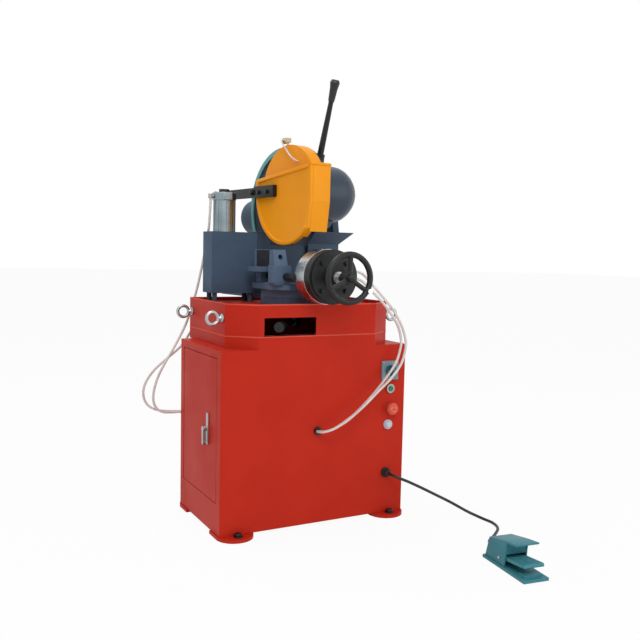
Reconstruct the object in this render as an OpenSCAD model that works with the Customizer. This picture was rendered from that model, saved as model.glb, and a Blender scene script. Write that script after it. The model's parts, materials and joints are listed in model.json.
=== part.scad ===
// Pneumatic cold saw on a sheet-metal cabinet, with a foot pedal on a cable.
// X runs to the operator's right, -Y is the front, Z is up and the floor is z = 0.
// The cabinet stands centred over the origin and the head turns on the Z axis.

/* [Cabinet] */
// Width of the cabinet
cabinet_w = 620; // [560:10:700]
// Depth of the cabinet
cabinet_d = 350; // [330:5:380]
// Height of the cabinet's top face above the floor
cabinet_top = 545; // [500:5:600]
// Thickness of the cabinet and tray sheet
sheet = 3; // [2:0.5:4]
// Thickness of the foot plates under the cabinet
foot_t = 10; // [8:1:12]
// Radius of the rounded front of a foot plate
foot_r = 56; // [50:1:60]
// Distance of each foot plate's centre from the cabinet's side
foot_in = 52; // [45:1:60]
// Diameter of the anchor hole in each foot plate
foot_bolt_d = 14; // [10:1:16]

/* [Door] */
// Width of the door in the left side
door_w = 284; // [240:2:296]
// Distance of the door's upper edge below the cabinet's top
door_top_in = 25; // [20:1:60]
// Height of the door's lower edge above the floor
door_z = 102; // [80:1:110]
// Depth of the door's folded edge
door_fold = 14; // [12:1:20]
// Gap round the door
door_gap = 2; // [1.5:0.5:3]
// Diameter of the door's hinge pins
door_pin_d = 6; // [5:0.5:8]
// Distance of the hinge pins from the door's face and rear edge
door_pin_in = 6; // [5:0.5:8]
// Length of the lock plate on the door
lock_h = 92; // [80:1:110]
// Distance of the lock from the door's front edge
lock_in = 66; // [50:1:80]

/* [Tray] */
// Distance of the tray's sides from the cabinet's sides
tray_inset = 35; // [25:1:45]
// Height of the plinth under the tray
plinth_h = 36; // [30:1:45]
// Height of the tray above its plinth
tray_h = 95; // [80:1:110]
// Depth of the pan in the tray's top
pan_depth = 12; // [8:1:18]
// How far the tray reaches behind the cabinet
tray_back = 20; // [0:1:30]
// Width of the slanted front corners
corner_w = 80; // [60:1:100]
// Depth of the slanted front corners
corner_d = 63; // [50:1:80]
// Width of the slot in the tray's front
slot_w = 168; // [140:1:180]
// Height of the slot in the tray's front
slot_h = 53; // [40:1:55]
// Distance of the slot's right end from the middle of the tray
slot_off = 11; // [8:1:20]
// Outside diameter of a lifting eye
eye_d = 44; // [38:1:50]
// Diameter of the hole in a lifting eye
eye_hole_d = 26; // [22:1:30]
// Thickness of a lifting eye
eye_t = 10; // [8:1:12]

/* [Vise] */
// Radius of the round pedestal
pedestal_r = 105; // [95:1:115]
// Radius of the hub that the swivel ring turns on
hub_r = 60; // [50:1:70]
// Height of the swivel ring
ring_h = 24; // [20:1:30]
// Height of the round pedestal above the swivel ring
pedestal_h = 24; // [20:1:28]
// Thickness of the vise bed on the pedestal
bed_h = 16; // [12:1:20]
// Half width of the vise bed
bed_x = 116; // [110:1:124]
// Height of the slide rails on the bed
rail_h = 4; // [3:0.5:5]
// Height of the moving jaw's body
jaw_body_h = 52; // [48:1:54]
// Height of the left jaws above the work support
jaw_h = 53; // [44:1:56]
// Height of the right jaws, which pass under the gear case
low_jaw_h = 20; // [16:1:22]
// Width of each moving jaw
jaw_w = 60; // [56:1:64]
// Length of the moving jaw along its travel
jaw_l = 35; // [30:1:38]
// Thickness of the work support
support_t = 15; // [12:1:18]
// Opening of the vise as it stands
vise_open = 77; // [70:1:80]
// Travel of the moving jaw
vise_travel = 40; // [20:1:40]
// Radius of the vise cylinder
drum_r = 79.5; // [70:0.5:82]
// Length of the vise cylinder
drum_l = 36; // [32:1:42]
// Width of the bright ring behind the vise cylinder
band_l = 56; // [50:1:60]
// Diameter of the vise screw
screw_d = 20; // [16:1:22]
// Outside diameter of the handwheel
wheel_d = 150; // [130:1:160]
// Thickness of the handwheel's rim
wheel_rim_d = 17; // [14:1:20]
// Distance from the vise cylinder to the handwheel's middle
wheel_reach = 87; // [80:1:95]

/* [Head] */
// Angle that the head stands turned to the left
head_turn = 8; // [0:1:8]
// Diameter of the saw blade
blade_d = 275; // [250:5:275]
// Thickness of the saw blade
blade_t = 2.5; // [2:0.5:3]
// Number of teeth on the blade
blade_teeth = 120; // [80:10:160]
// Diameter of the blade's bore
arbor_d = 32; // [25.4:0.1:40]
// Height of the blade's middle above the floor, head raised
blade_z = 1012; // [1005:1:1020]
// Distance of the blade's middle in front of the swivel axis
blade_fore = 0; // [0:1:8]
// Gap between the blade's teeth and the hood
hood_gap = 4.5; // [4:0.5:6]
// Thickness of the hood and guard sheet
guard_t = 2; // [1.5:0.5:3]
// Radius of the gear case
case_r = 90; // [80:1:92]
// Length of the straight part of the gear case
case_l = 112; // [100:1:120]
// Length of the gear case's domed end
dome_l = 90; // [80:1:100]
// Radius of the motor
motor_r = 60; // [50:1:60]
// Length of the motor
motor_l = 236; // [220:2:280]
// Distance of the hinge behind the swivel axis
hinge_y = 176; // [172:1:180]
// Height of the hinge above the floor
hinge_z = 963; // [960:1:970]
// Diameter of the hinge pin
hinge_d = 30; // [24:1:34]
// Length of the pull handle
handle_l = 270; // [200:5:300]

/* [Guard] */
// Radius of the guard's round lower edge
guard_r = 162; // [155:1:168]
// Distance of the guard's front wall from the guard's middle
guard_front = 131; // [129:1:140]
// Width of the guard's front wall
guard_w = 73; // [66:1:80]
// Distance of the guard's face from the blade
guard_face = 58; // [54:1:64]
// Length of the guard's bar from its bracket to its pivot
bar_l = 190; // [170:1:200]
// Height of the guard's bar
bar_h = 33; // [28:1:38]
// Thickness of the guard's bar
bar_t = 10; // [8:1:12]

/* [Feed tank] */
// Diameter of the air and oil tank's tube
tank_d = 68; // [60:1:72]
// Diameter of the tank's end caps
tank_cap = 74; // [72:1:80]
// Height of the tank
tank_h = 305; // [280:5:320]
// Width of the box round the tank
box_w = 153; // [140:1:160]
// Depth of the box round the tank
box_d = 80; // [78:1:90]
// Height of the box round the tank
box_h = 193; // [170:1:200]

/* [Controls] */
// Side of the main switch's plate
switch_side = 60; // [50:1:66]
// Diameter of the start button's ring
button_d = 29; // [26:1:32]
// Diameter of the stop button's head
stop_d = 40; // [36:1:42]
// Diameter of the hoses
hose_d = 8; // [6:1:9]
// Diameter of the pedal's cable
cable_d = 9; // [7:1:10]

/* [Pedal] */
// Length of the foot pedal's base
pedal_l = 192; // [180:1:200]
// Width of the foot pedal's base
pedal_w = 76; // [70:1:84]
// Height of the foot pedal's cover
pedal_h = 88; // [80:1:96]

/* [Hidden] */
$fn = 64;

// Clearances: running fits, joints between sheet parts, and small steps
run_fit = 0.05;
slide_gap = 0.5;
turn_gap = 0.4;
step = 2;
eps = 0.01;

// Cabinet and tray levels
cabinet_x = cabinet_w / 2;
cabinet_y = cabinet_d / 2;
seam_z = cabinet_top + plinth_h;
rim_z = seam_z + tray_h;
deck_z = rim_z - pan_depth;
deck_t = 4;
tray_x = cabinet_x - tray_inset;
tray_front = -cabinet_y;
tray_rear = cabinet_y + tray_back;
foot_x = cabinet_x - foot_in;
foot_y = cabinet_y - 16;
foot_bolt_y = cabinet_y + 14;
slot_z = seam_z + step;

// Door: its pins stand in lugs inside the left wall
door_h = cabinet_top - door_top_in - door_z;
door_rear = door_w / 2;
door_pin_x = -cabinet_x + door_pin_in;
door_pin_y = door_rear - door_pin_in;
door_swing_gap = door_pin_in * 0.5;
pin_reach = 10;
lug_side = 16;
lock_w = 14;
lock_t = 4;
lock_y = -door_w / 2 + lock_in;
lock_z = door_z + door_h / 2 - 4;
latch_d = 12;

// Lifting eyes stand out from the tray's sides
eye_neck_l = 4;
eye_collar_d = 24;
eye_collar_t = 5;
eye_z = rim_z - 44;
eye_x = tray_x + eye_collar_t + eye_neck_l + eye_hole_d / 2;
eye_fore_y = tray_front + corner_d + 18;
eye_back_y = tray_rear - 24;

// Levels of the vise, from the pan upward
ring_z = deck_z + turn_gap;
pedestal_z = ring_z + ring_h + turn_gap;
pedestal_top = pedestal_z + pedestal_h;
bed_top = pedestal_top + bed_h;
rail_top = bed_top + rail_h;
support_z = bed_top + 36;
work_z = support_z + support_t;
vise_z = bed_top + 28;
bed_front = -112;
bed_back = 70;
bed_r = 132;
fixed_face = 17;
jaw_plate_t = 5;
moving_face = fixed_face - vise_open;
moving_back = moving_face - jaw_plate_t;
moving_front = moving_back - jaw_l;
jaw_in = 60;
jaw_top_in = 72;
jaw_top_w = 42;
jaw_lean = 17;
jaw_hole_d = 15;
fixed_jaw_x = 78;
fixed_jaw_w = 42;
fixed_jaw_t = 18;
fixed_back = fixed_face + jaw_plate_t;
leg_in = 62;
leg_w = 44;
leg_back = 56;
support_in = 70;
support_w = 64;
support_front = fixed_face - 39;
support_back = fixed_face + 43;
rail_in = 86;
rail_w = 30;
rail_end = fixed_face - 41;
slider_top = bed_top + 24;
rod_x = 76;
rod_d = 24;
rod_z = vise_z - 5;
band_r = drum_r + 1;
band_y = tray_front + 9;
drum_y = band_y - band_l;
drum_front = drum_y - drum_l;
wheel_y = drum_front - wheel_reach;
wheel_r = (wheel_d - wheel_rim_d) / 2;
wheel_hub_d = 36;
screw_back = fixed_face - 27;
boss_d = 60;
boss_l = 18;
// Swivel ring, its arms and the column at the right rear
arm_t = 10;
arm_z = ring_z + ring_h - arm_t - 0.5;
arm_top = ring_z + ring_h;
column_x = 150;
column_w = 130;
column_y = 140;
column_d = 100;
column_top = 857;
rear_wall_x = -50;
rear_wall_y = column_y + 12;
rear_wall_t = 20;
rear_wall_top = column_top - 9;
rear_wall_high = column_top + 33;
flare_h = 40;
flare_top = column_top + flare_h;
flare_side = 35;
flare_front = 42;
flare_back = 10;
ear_w = 25;
ear_r = 30;
ear_in = column_x + 15;
barrel_x = ear_in + ear_w + turn_gap;
barrel_end = column_x + column_w - ear_w - turn_gap;

// Head: blade, hood, back plate and gear case on the blade's axis
blade_y = -blade_fore;
blade_r = blade_d / 2;
hood_in = blade_r + hood_gap;
hood_r = hood_in + guard_t;
hood_face = 30;
flange_d = 92;
flange_t = 9;
nut_t = 12;
plate_x = 10;
plate_t = 8;
case_x = plate_x + plate_t;
case_end = case_x + case_l;
boss_r = 48;
plate_r = 192;
plate_back_y = 93;
plate_back_z = blade_z - 44;
plate_cut_z = blade_z - 119;
plate_front_y = -40;
plate_set = 4;
plate_rim = 15;
rim_start_y = 40;
hood_low = 10;
worm_r = 46;
worm_x = 84;
worm_z = blade_z - 67;
motor_y = 158;
swing_arm_z = hinge_z - 11;
swing_arm_h = 38;
handle_x = 60;
handle_lean = 18;
handle_d = 20;
grip_d = 30;
grip_l = 66;
tap_angle = 76;
tap_x = -10;

// Guard: fixed to a bar that hinges on a post behind the head
guard_y = -28;
guard_z = blade_z - 3;
wall_y = guard_y - guard_front;
guard_top_front = 1086;
guard_top_rear = 1055;
guard_rear = guard_y + guard_r;
wall_low_z = 890;
wall_bend_z = 978;
wall_lean = 9;
lip = 10;
bar_front = 20;
bead_t = 5;
bead_w = 11;
bar_x = -guard_face - bead_t - bar_t;
pivot_y = guard_rear + bar_l;
pivot_z = guard_z + 4;
pivot_d = 14;
post_x = bar_x + bar_t + turn_gap;
post_w = 26;
post_d = 34;

// Feed tank and its box on the tray's left rear
box_sheet = 3;
box_right = -85;
box_x = box_right - box_w;
box_y = 100;
box_z = rim_z + 17;
tank_x = box_right - 98;
tank_y = box_y + box_sheet + tank_cap / 2 + step;
tank_top = 1010;
cap_h = 26;
tank_z = tank_top - tank_h;
leg_d = 16;
port_z = tank_top - cap_h / 2;
elbow_d = 14;
elbow_x = tank_x - tank_cap / 2 - 9;

// Controls on the front panel, and cord outlets
front_y = -cabinet_y;
panel_x = cabinet_x - 58;
switch_z = 464;
start_z = 406;
stop_z = 344;
lamp_z = 292;
gland_d = 20;
hose_gland_z = 293;
cable_gland_x = cabinet_x - 63;
cable_gland_z = 138;
back_gland_x = -cabinet_x + 40;
back_gland_z = 299;
button_travel = 3;
stop_travel = 4;

// Foot pedal on the floor
pedal_turn = -7.5;
pedal_at = [342, -592];
pedal_base_t = 8;
pedal_wall = 4;
pedal_hinge_y = -74;
pedal_hinge_z = 26;
pedal_pin_d = 8;
pedal_tread_t = 8;
pedal_tread_l = 108;

// Routes of the hoses and the cable, by their middle lines
feed_hose_long_route = [
    [-229, 142, 990], [-229, 142, 972], [-229, 145, 949], [-228, 153, 915], [-227.5, 165, 880], [-228.5, 180, 845],
    [-232, 193, 800], [-239, 203, 748], [-250, 211, 690], [-265, 218, 632], [-284, 222, 577], [-321, 224, 506],
    [-348, 224, 462], [-369, 224, 422], [-382, 224, 384], [-386.6, 224, 352], [-383, 223.6, 329], [-372, 223, 312],
    [-354, 222.4, 302], [-331, 221.4, 299.4], [-308, 219.4, 299], [-293.4, 215.5, 299], [-281.1, 206.5, 299],
    [-272.9, 193.7, 299], [-270, 179, 299]
];
feed_hose_short_route = [
    [-230, 207, 600], [-231.5, 221.5, 597.5], [-235.8, 233.9, 590.5], [-242.2, 242.1, 580], [-250, 246, 567.6],
    [-262, 247.6, 547], [-279, 248, 521], [-303, 248, 497], [-334, 248, 473], [-369, 248, 444], [-395, 247, 414],
    [-410, 246, 385], [-413, 244, 358], [-406, 242, 334], [-389, 239, 316], [-364, 236, 306], [-336, 234.4, 301.4],
    [-310, 231.6, 299.8], [-288, 226.4, 299], [-272, 219.6, 299], [-259.4, 209, 299], [-251, 194.7, 299],
    [-248, 179, 299]
];
vise_hose_inner_route = [
    [106, -194, 749.8], [119, -194.4, 748.6], [132, -195.6, 742.6], [145, -197, 732], [163, -199, 715], [200, -202, 681],
    [229, -205, 648], [257, -208, 606], [269, -210, 563], [265, -212, 531], [248, -214, 490], [209, -216, 442],
    [161, -218.6, 394], [108, -221, 350], [64, -222.6, 323], [38.9, -221.8, 309.4], [25.8, -219, 303.1],
    [14.6, -210.9, 297.8], [7.2, -198.5, 294.2], [4.6, -184, 293]
];
vise_hose_outer_route = [
    [106, -194, 771.8], [120, -194.6, 770.6], [134, -196.4, 763.6], [148, -199, 750.6], [175, -202.6, 722],
    [210, -207, 686], [241, -211, 650], [268, -216, 602], [281, -219, 556], [276, -221, 522], [261, -223, 486],
    [226, -225, 447], [177, -227.4, 408], [124, -230.4, 366], [72, -232.4, 331], [36.9, -231, 312.8], [21, -226.8, 305.2],
    [7.6, -216.5, 298.8], [-1.4, -201.6, 294.5], [-4.6, -184, 293]
];
pedal_cable_route = [
    [247, -198, 138], [249.9, -214.1, 136.8], [258.3, -227.7, 133.2], [270.9, -236.8, 127.9], [286, -241.6, 121.4],
    [306, -245, 111.6], [338, -249, 95.4], [384, -256, 71], [434, -274, 44], [476, -306, 18], [500, -350, 6],
    [504, -396, 5], [486, -440, 5], [442, -478, 5], [398, -510, 8], [366, -542, 18], [347, -572, 22], [342, -590, 22]
];

// A tube of one diameter swept along a route, with square ends
function unit(v) = v / norm(v);
function smooth(p, k, t) = let (
        a = p[max(k - 1, 0)], b = p[k], c = p[k + 1], d = p[min(k + 2, len(p) - 1)]
    ) 0.5 * (2 * b + (c - a) * t + (2 * a - 5 * b + 4 * c - d) * t * t
        + (3 * b - a - 3 * c + d) * t * t * t);
function heading(p, i) = unit(p[min(i + 1, len(p) - 1)] - p[max(i - 1, 0)]);
function across(d) = unit(cross(d, abs(d[2]) < 0.9 ? [0, 0, 1] : [1, 0, 0]));
function carried(v, d) = unit(v - d * (v * d));
function frames(p, i = 0, v = undef) =
    i == len(p) ? [] :
    let (d = heading(p, i), s = is_undef(v) ? across(d) : carried(v, d))
    concat([[s, cross(d, s)]], frames(p, i + 1, s));

module cord(route, d, sides = 8) {
    line = [for (k = [0 : len(route) - 2], t = [0 : 0.5 : 0.5]) smooth(route, k, t), route[len(route) - 1]];
    f = frames(line);
    rings = len(line);
    points = [
        for (i = [0 : rings - 1], j = [0 : sides - 1])
            line[i] + d / 2 * (cos(360 * j / sides) * f[i][0] + sin(360 * j / sides) * f[i][1])
    ];
    walls = [
        for (i = [0 : rings - 2], j = [0 : sides - 1])
            let (a = i * sides + j, b = i * sides + (j + 1) % sides) each [
                [a, b, b + sides], [a, b + sides, a + sides]
            ]
    ];
    ends = [
        [for (j = [sides - 1 : -1 : 0]) j],
        [for (j = [0 : sides - 1]) (rings - 1) * sides + j]
    ];
    polyhedron(points, concat(walls, ends), convexity = 6);
}

// Placing helpers: round bars along X and Y, profiles drawn in Y and Z, the turned head
module bar_x(x, y, z, l, d) translate([x, y, z]) rotate([0, 90, 0]) cylinder(h = l, d = d);
module bar_y(x, y, z, l, d) translate([x, y, z]) rotate([-90, 0, 0]) cylinder(h = l, d = d);
module profile_yz(x, l) translate([x, 0, 0]) rotate([90, 0, 90]) linear_extrude(l) children();
module turned() rotate([0, 0, head_turn]) children();
module both_sides() for (s = [-1, 1]) scale_x(s) children();
module scale_x(s) if (s > 0) children(); else mirror([1, 0, 0]) children();
module lathe_x(x, y, z) translate([x, y, z]) rotate([0, 90, 0]) rotate_extrude() children();
module lathe_y(x, y, z) translate([x, y, z]) rotate([-90, 0, 0]) rotate_extrude() children();

// The tray's outline with its slanted front corners, drawn in by a distance
function corner_run(t) = norm([corner_w, corner_d]) * t;
function corner_level() = corner_d * tray_x - corner_w * (tray_front + corner_d);
function tray_points(t) = let (
        x = tray_x - t, y = tray_front + t, c = corner_level() - corner_run(t),
        side = (corner_d * x - c) / corner_w, front = (c + corner_w * y) / corner_d
    ) [[-x, tray_rear - t], [-x, side], [-front, y], [front, y], [x, side], [x, tray_rear - t]];

// Sheet-metal cabinet with its door opening, panel holes and the plinth welded on top
module cabinet() color("#c8321f") {
    difference() {
        translate([-cabinet_x, -cabinet_y, foot_t])
            cube([cabinet_w, cabinet_d, cabinet_top - foot_t]);
        translate([-cabinet_x + sheet, -cabinet_y + sheet, foot_t + sheet])
            cube([cabinet_w - 2 * sheet, cabinet_d - 2 * sheet, cabinet_top - foot_t - 2 * sheet]);
        translate([-cabinet_x - step, -door_w / 2 - door_gap, door_z - door_gap])
            cube([sheet + 2 * step, door_w + 2 * door_gap + door_swing_gap, door_h + 2 * door_gap]);
    }
    for (z = [door_z - door_gap - lug_side, door_z + door_h + door_gap])
        difference() {
            translate([-cabinet_x + sheet - eps, door_pin_y - lug_side / 2, z])
                cube([door_pin_in - sheet + lug_side / 2, lug_side, lug_side]);
            translate([door_pin_x, door_pin_y, z - step])
                cylinder(h = lug_side + 2 * step, d = door_pin_d + 2 * run_fit);
        }
    translate([0, 0, cabinet_top])
        linear_extrude(plinth_h)
            difference() {
                polygon(tray_points(0));
                polygon(tray_points(sheet));
            }
}

// Rounded foot plates that stand out in front of and behind the cabinet
module feet() color("#b82c1c")
    for (x = [-foot_x, foot_x], side = [-1, 1])
        difference() {
            linear_extrude(foot_t) {
                translate([x, side * foot_y]) circle(foot_r);
                translate([x - foot_r, side > 0 ? foot_y - foot_r : -foot_y]) square([2 * foot_r, foot_r]);
            }
            translate([x, side * foot_bolt_y, -step]) cylinder(h = foot_t + 2 * step, d = foot_bolt_d);
        }

// Folded sheet door with a hinge pin at its top and bottom
module door() color("#c02e1d") {
    difference() {
        translate([-cabinet_x, -door_w / 2, door_z]) cube([door_fold, door_w, door_h]);
        translate([-cabinet_x + sheet, -door_w / 2 + sheet, door_z + sheet])
            cube([door_fold, door_w - 2 * sheet - 2 * door_pin_in, door_h - 2 * sheet]);
        bar_x(-cabinet_x - step, lock_y, lock_z, sheet + 2 * step, latch_d + 2 * run_fit);
    }
    for (z = [door_z - pin_reach, door_z + door_h])
        translate([door_pin_x, door_pin_y, z]) cylinder(h = pin_reach, d = door_pin_d);
    difference() {
        translate([-cabinet_x - lock_t, lock_y - lock_w / 2, lock_z - lock_h / 2])
            cube([lock_t, lock_w, lock_h]);
        bar_x(-cabinet_x - lock_t - step, lock_y, lock_z, lock_t + 2 * step, latch_d + 2 * run_fit);
    }
}

// Lever lock: a lever on the lock plate and a cam behind the door
module door_latch() color("#b9bcbe") {
    bar_x(-cabinet_x - lock_t - 10, lock_y, lock_z, lock_t + sheet + 20, latch_d);
    profile_yz(-cabinet_x - lock_t - 14, 9) {
        translate([lock_y, lock_z]) circle(8);
        translate([lock_y - 5.5, lock_z - 40]) square([11, 40]);
        translate([lock_y, lock_z - 40]) circle(6.5);
    }
    translate([-cabinet_x + sheet + 6, lock_y - 7, lock_z - 9]) cube([4, 14, 42]);
}

// Tray with a shallow pan on top, hollow below, and the slot in its front
module tray() color("#cc3320")
    difference() {
        translate([0, 0, seam_z]) linear_extrude(tray_h) polygon(tray_points(0));
        translate([0, 0, deck_z]) linear_extrude(pan_depth + step) polygon(tray_points(sheet));
        translate([0, 0, seam_z - step]) linear_extrude(deck_z - deck_t - seam_z + step) polygon(tray_points(sheet));
        translate([-slot_off - slot_w, tray_front - step, slot_z]) cube([slot_w, sheet + 2 * step, slot_h]);
        translate([0, 0, deck_z - 2 * deck_t]) cylinder(h = 3 * deck_t, d = lock_shaft_d + 2 * run_fit);
    }

// Lifting eyes: a ring, a neck and a collar against the tray's side
module lifting_eyes() color("#b4b8ba")
    both_sides()
        for (y = [eye_fore_y, eye_back_y])
            difference() {
                union() {
                    bar_y(eye_x + eye_d / 2 - eye_hole_d / 2, y - eye_t / 2, eye_z, eye_t, eye_d);
                    bar_x(tray_x + eye_collar_t - eps, y, eye_z, eye_neck_l + step, eye_t + 2);
                    bar_x(tray_x, y, eye_z, eye_collar_t, eye_collar_d);
                }
                bar_y(eye_x + eye_d / 2 - eye_hole_d / 2, y - eye_d, eye_z, 2 * eye_d, eye_hole_d);
            }

// Swivel lock: a lever in the tray's front slot on a shaft under the pedestal
lock_shaft_d = 24;
lock_lever_y = -cabinet_y - 6;
lock_lever_x = -slot_off - slot_w + 44;
lock_lever_z = slot_z + slot_h / 2;
module swivel_lock() color("#4a4c50") {
    lever_angle = atan2(lock_lever_y, lock_lever_x);
    lever_l = norm([lock_lever_x, lock_lever_y]);
    translate([0, 0, lock_lever_z - 14]) cylinder(h = deck_z - 1 - lock_lever_z + 14, d = lock_shaft_d);
    translate([0, 0, lock_lever_z - 15]) cylinder(h = 30, d = 46);
    translate([0, 0, lock_lever_z]) rotate([0, 0, lever_angle]) {
        translate([10, 0, 0]) rotate([0, 90, 0]) cylinder(h = lever_l - 30, d = 18);
        translate([lever_l - 40, 0, 0]) rotate([0, 90, 0]) cylinder(h = 44, d = 30);
    }
}

function side_jaw_h(s) = s < 0 ? jaw_h : low_jaw_h;

// Pedestal and vise bed: one casting on the pan, with work supports and fixed jaws behind
module vise_base() color("#5a6678")
    difference() {
        union() {
            translate([0, 0, deck_z]) cylinder(h = pedestal_z - deck_z + 1, r = hub_r);
            translate([0, 0, pedestal_z]) cylinder(h = pedestal_h, r = pedestal_r);
            intersection() {
                translate([-bed_x, bed_front, pedestal_top - 1]) cube([2 * bed_x, bed_back - bed_front, bed_h + 1]);
                translate([0, 0, pedestal_top - 1]) cylinder(h = bed_h + 1, r = bed_r);
            }
            for (s = [-1, 1]) scale_x(s) {
                translate([rail_in, bed_front + 7, bed_top - 1]) cube([rail_w, rail_end - bed_front - 7, rail_h + 1]);
                translate([leg_in, fixed_back + 2, bed_top - 1])
                    cube([leg_w, leg_back - fixed_back - 2, support_z - bed_top + 2]);
                translate([support_in, support_front, support_z])
                    cube([support_w, support_back - support_front, support_t]);
                translate([fixed_jaw_x, fixed_back, work_z - 1])
                    cube([fixed_jaw_w, fixed_jaw_t, side_jaw_h(s) + 1]);
            }
        }
        translate([0, 0, deck_z - step]) cylinder(h = pedestal_h, d = lock_shaft_d + 2 * run_fit);
    }

// Hardened plates on the fixed jaws
module fixed_jaw_plates() color("#9aa1a6")
    for (s = [-1, 1])
        scale_x(s)
            translate([fixed_jaw_x, fixed_face, work_z])
                cube([fixed_jaw_w, jaw_plate_t, side_jaw_h(s) - step]);

// Pneumatic vise cylinder with a raised front cover
module vise_cylinder() color("#2b2d2f")
    difference() {
        union() {
            bar_y(0, drum_front + 6, vise_z, drum_l - 6, 2 * drum_r);
            bar_y(0, drum_front, vise_z, 6 + eps, 2 * drum_r - 14);
            bar_y(0, drum_front - boss_l, vise_z, boss_l + eps, boss_d);
        }
        bar_y(0, drum_front - boss_l - step, vise_z, drum_l + boss_l + 2 * step, screw_d + 2 * run_fit);
    }

// Bright ring and rear flange of the vise cylinder
module cylinder_band() color("#c4c9cc")
    difference() {
        bar_y(0, drum_y, vise_z, band_l, 2 * band_r);
        bar_y(0, drum_y - step, vise_z, band_l + 2 * step, screw_d + 2 * run_fit);
    }

// Bolts round the vise cylinder's front cover
bolt_ring = drum_r - 24;
module cylinder_bolts() color("#7d8285")
    for (a = [45 : 90 : 315])
        translate([bolt_ring * cos(a), drum_front - 8, vise_z + bolt_ring * sin(a)])
            rotate([-90, 0, 0]) cylinder(h = 8, d = 14, $fn = 6);

// Guide rods between the vise cylinder's ring and the legs behind
module guide_rods() color("#6d5a4c")
    both_sides() bar_y(rod_x, band_y, rod_z, fixed_back + 2 - band_y, rod_d);

// Moving jaws: two bodies on the guide rods, joined by a crossbar that carries the nut
module moving_jaw() color("#7f8da3")
    difference() {
        union() {
            for (s = [-1, 1]) scale_x(s) {
                translate([jaw_in, moving_front, rail_top + turn_gap]) cube([jaw_w, jaw_l, jaw_body_h]);
                profile_yz(jaw_top_in, jaw_top_w)
                    polygon([
                        [moving_front, rail_top + jaw_body_h - 1], [moving_front, rail_top + jaw_body_h + turn_gap],
                        [moving_front + jaw_lean * side_jaw_h(s) / jaw_h, work_z + side_jaw_h(s)],
                        [moving_back, work_z + side_jaw_h(s)], [moving_back, rail_top + jaw_body_h - 1]
                    ]);
            }
            translate([-jaw_in - 1, moving_front + 2, bed_top + 6])
                cube([2 * jaw_in + 2, jaw_l - 7, slider_top - bed_top - 6]);
            bar_y(0, moving_front + 2, vise_z, jaw_l - 7, 36);
        }
        bar_y(0, moving_front - step, vise_z, jaw_l + 2 * step, screw_d + 2 * run_fit);
        both_sides() bar_y(rod_x, moving_front - step, rod_z, jaw_l + 2 * step, rod_d + 2 * run_fit);
        bar_y(-jaw_top_in - 20, moving_front - step, work_z + jaw_h * 0.58, jaw_l, jaw_hole_d);
    }

// Hardened plates on the moving jaws
module jaw_plates() color("#9aa1a6")
    for (s = [-1, 1])
        scale_x(s)
            translate([jaw_top_in, moving_back, work_z + step])
                cube([jaw_top_w, jaw_plate_t, side_jaw_h(s) - 2 * step]);

// Vise screw with the collar that takes its thrust
module vise_screw() color("#9b9ea0") {
    bar_y(0, wheel_y - 10, vise_z, screw_back - wheel_y + 10, screw_d);
    bar_y(0, drum_front - boss_l - slide_gap - 10, vise_z, 10, 34);
}

// Handwheel: rim, three dished spokes and hub
spoke_angles = [-32, 88, 208];
module handwheel() color("#2a2b2d")
    difference() {
        union() {
            lathe_y(0, wheel_y, vise_z) translate([wheel_r, 0]) circle(d = wheel_rim_d);
            bar_y(0, wheel_y - 6, vise_z, 34, wheel_hub_d);
            for (a = spoke_angles)
                translate([0, wheel_y, vise_z]) rotate([0, -a, 0]) translate([wheel_hub_d / 2 - 6, 0, 0])
                    rotate([0, 90, 0]) cylinder(h = wheel_r - wheel_hub_d / 2 + 6, d = 14);
        }
        bar_y(0, wheel_y - 20, vise_z, 60, screw_d);
    }

// Bright stud on the handwheel's rim
module wheel_knob() color("#c9c3b4")
    translate([wheel_r * cos(spoke_angles[0]), wheel_y, vise_z + wheel_r * sin(spoke_angles[0])])
        rotate([90, 0, 0]) {
            translate([0, 0, wheel_rim_d / 2 - 1]) cylinder(h = 8, d = 10);
            translate([0, 0, wheel_rim_d / 2 + 7]) cylinder(h = 5, d = 14);
        }

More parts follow.
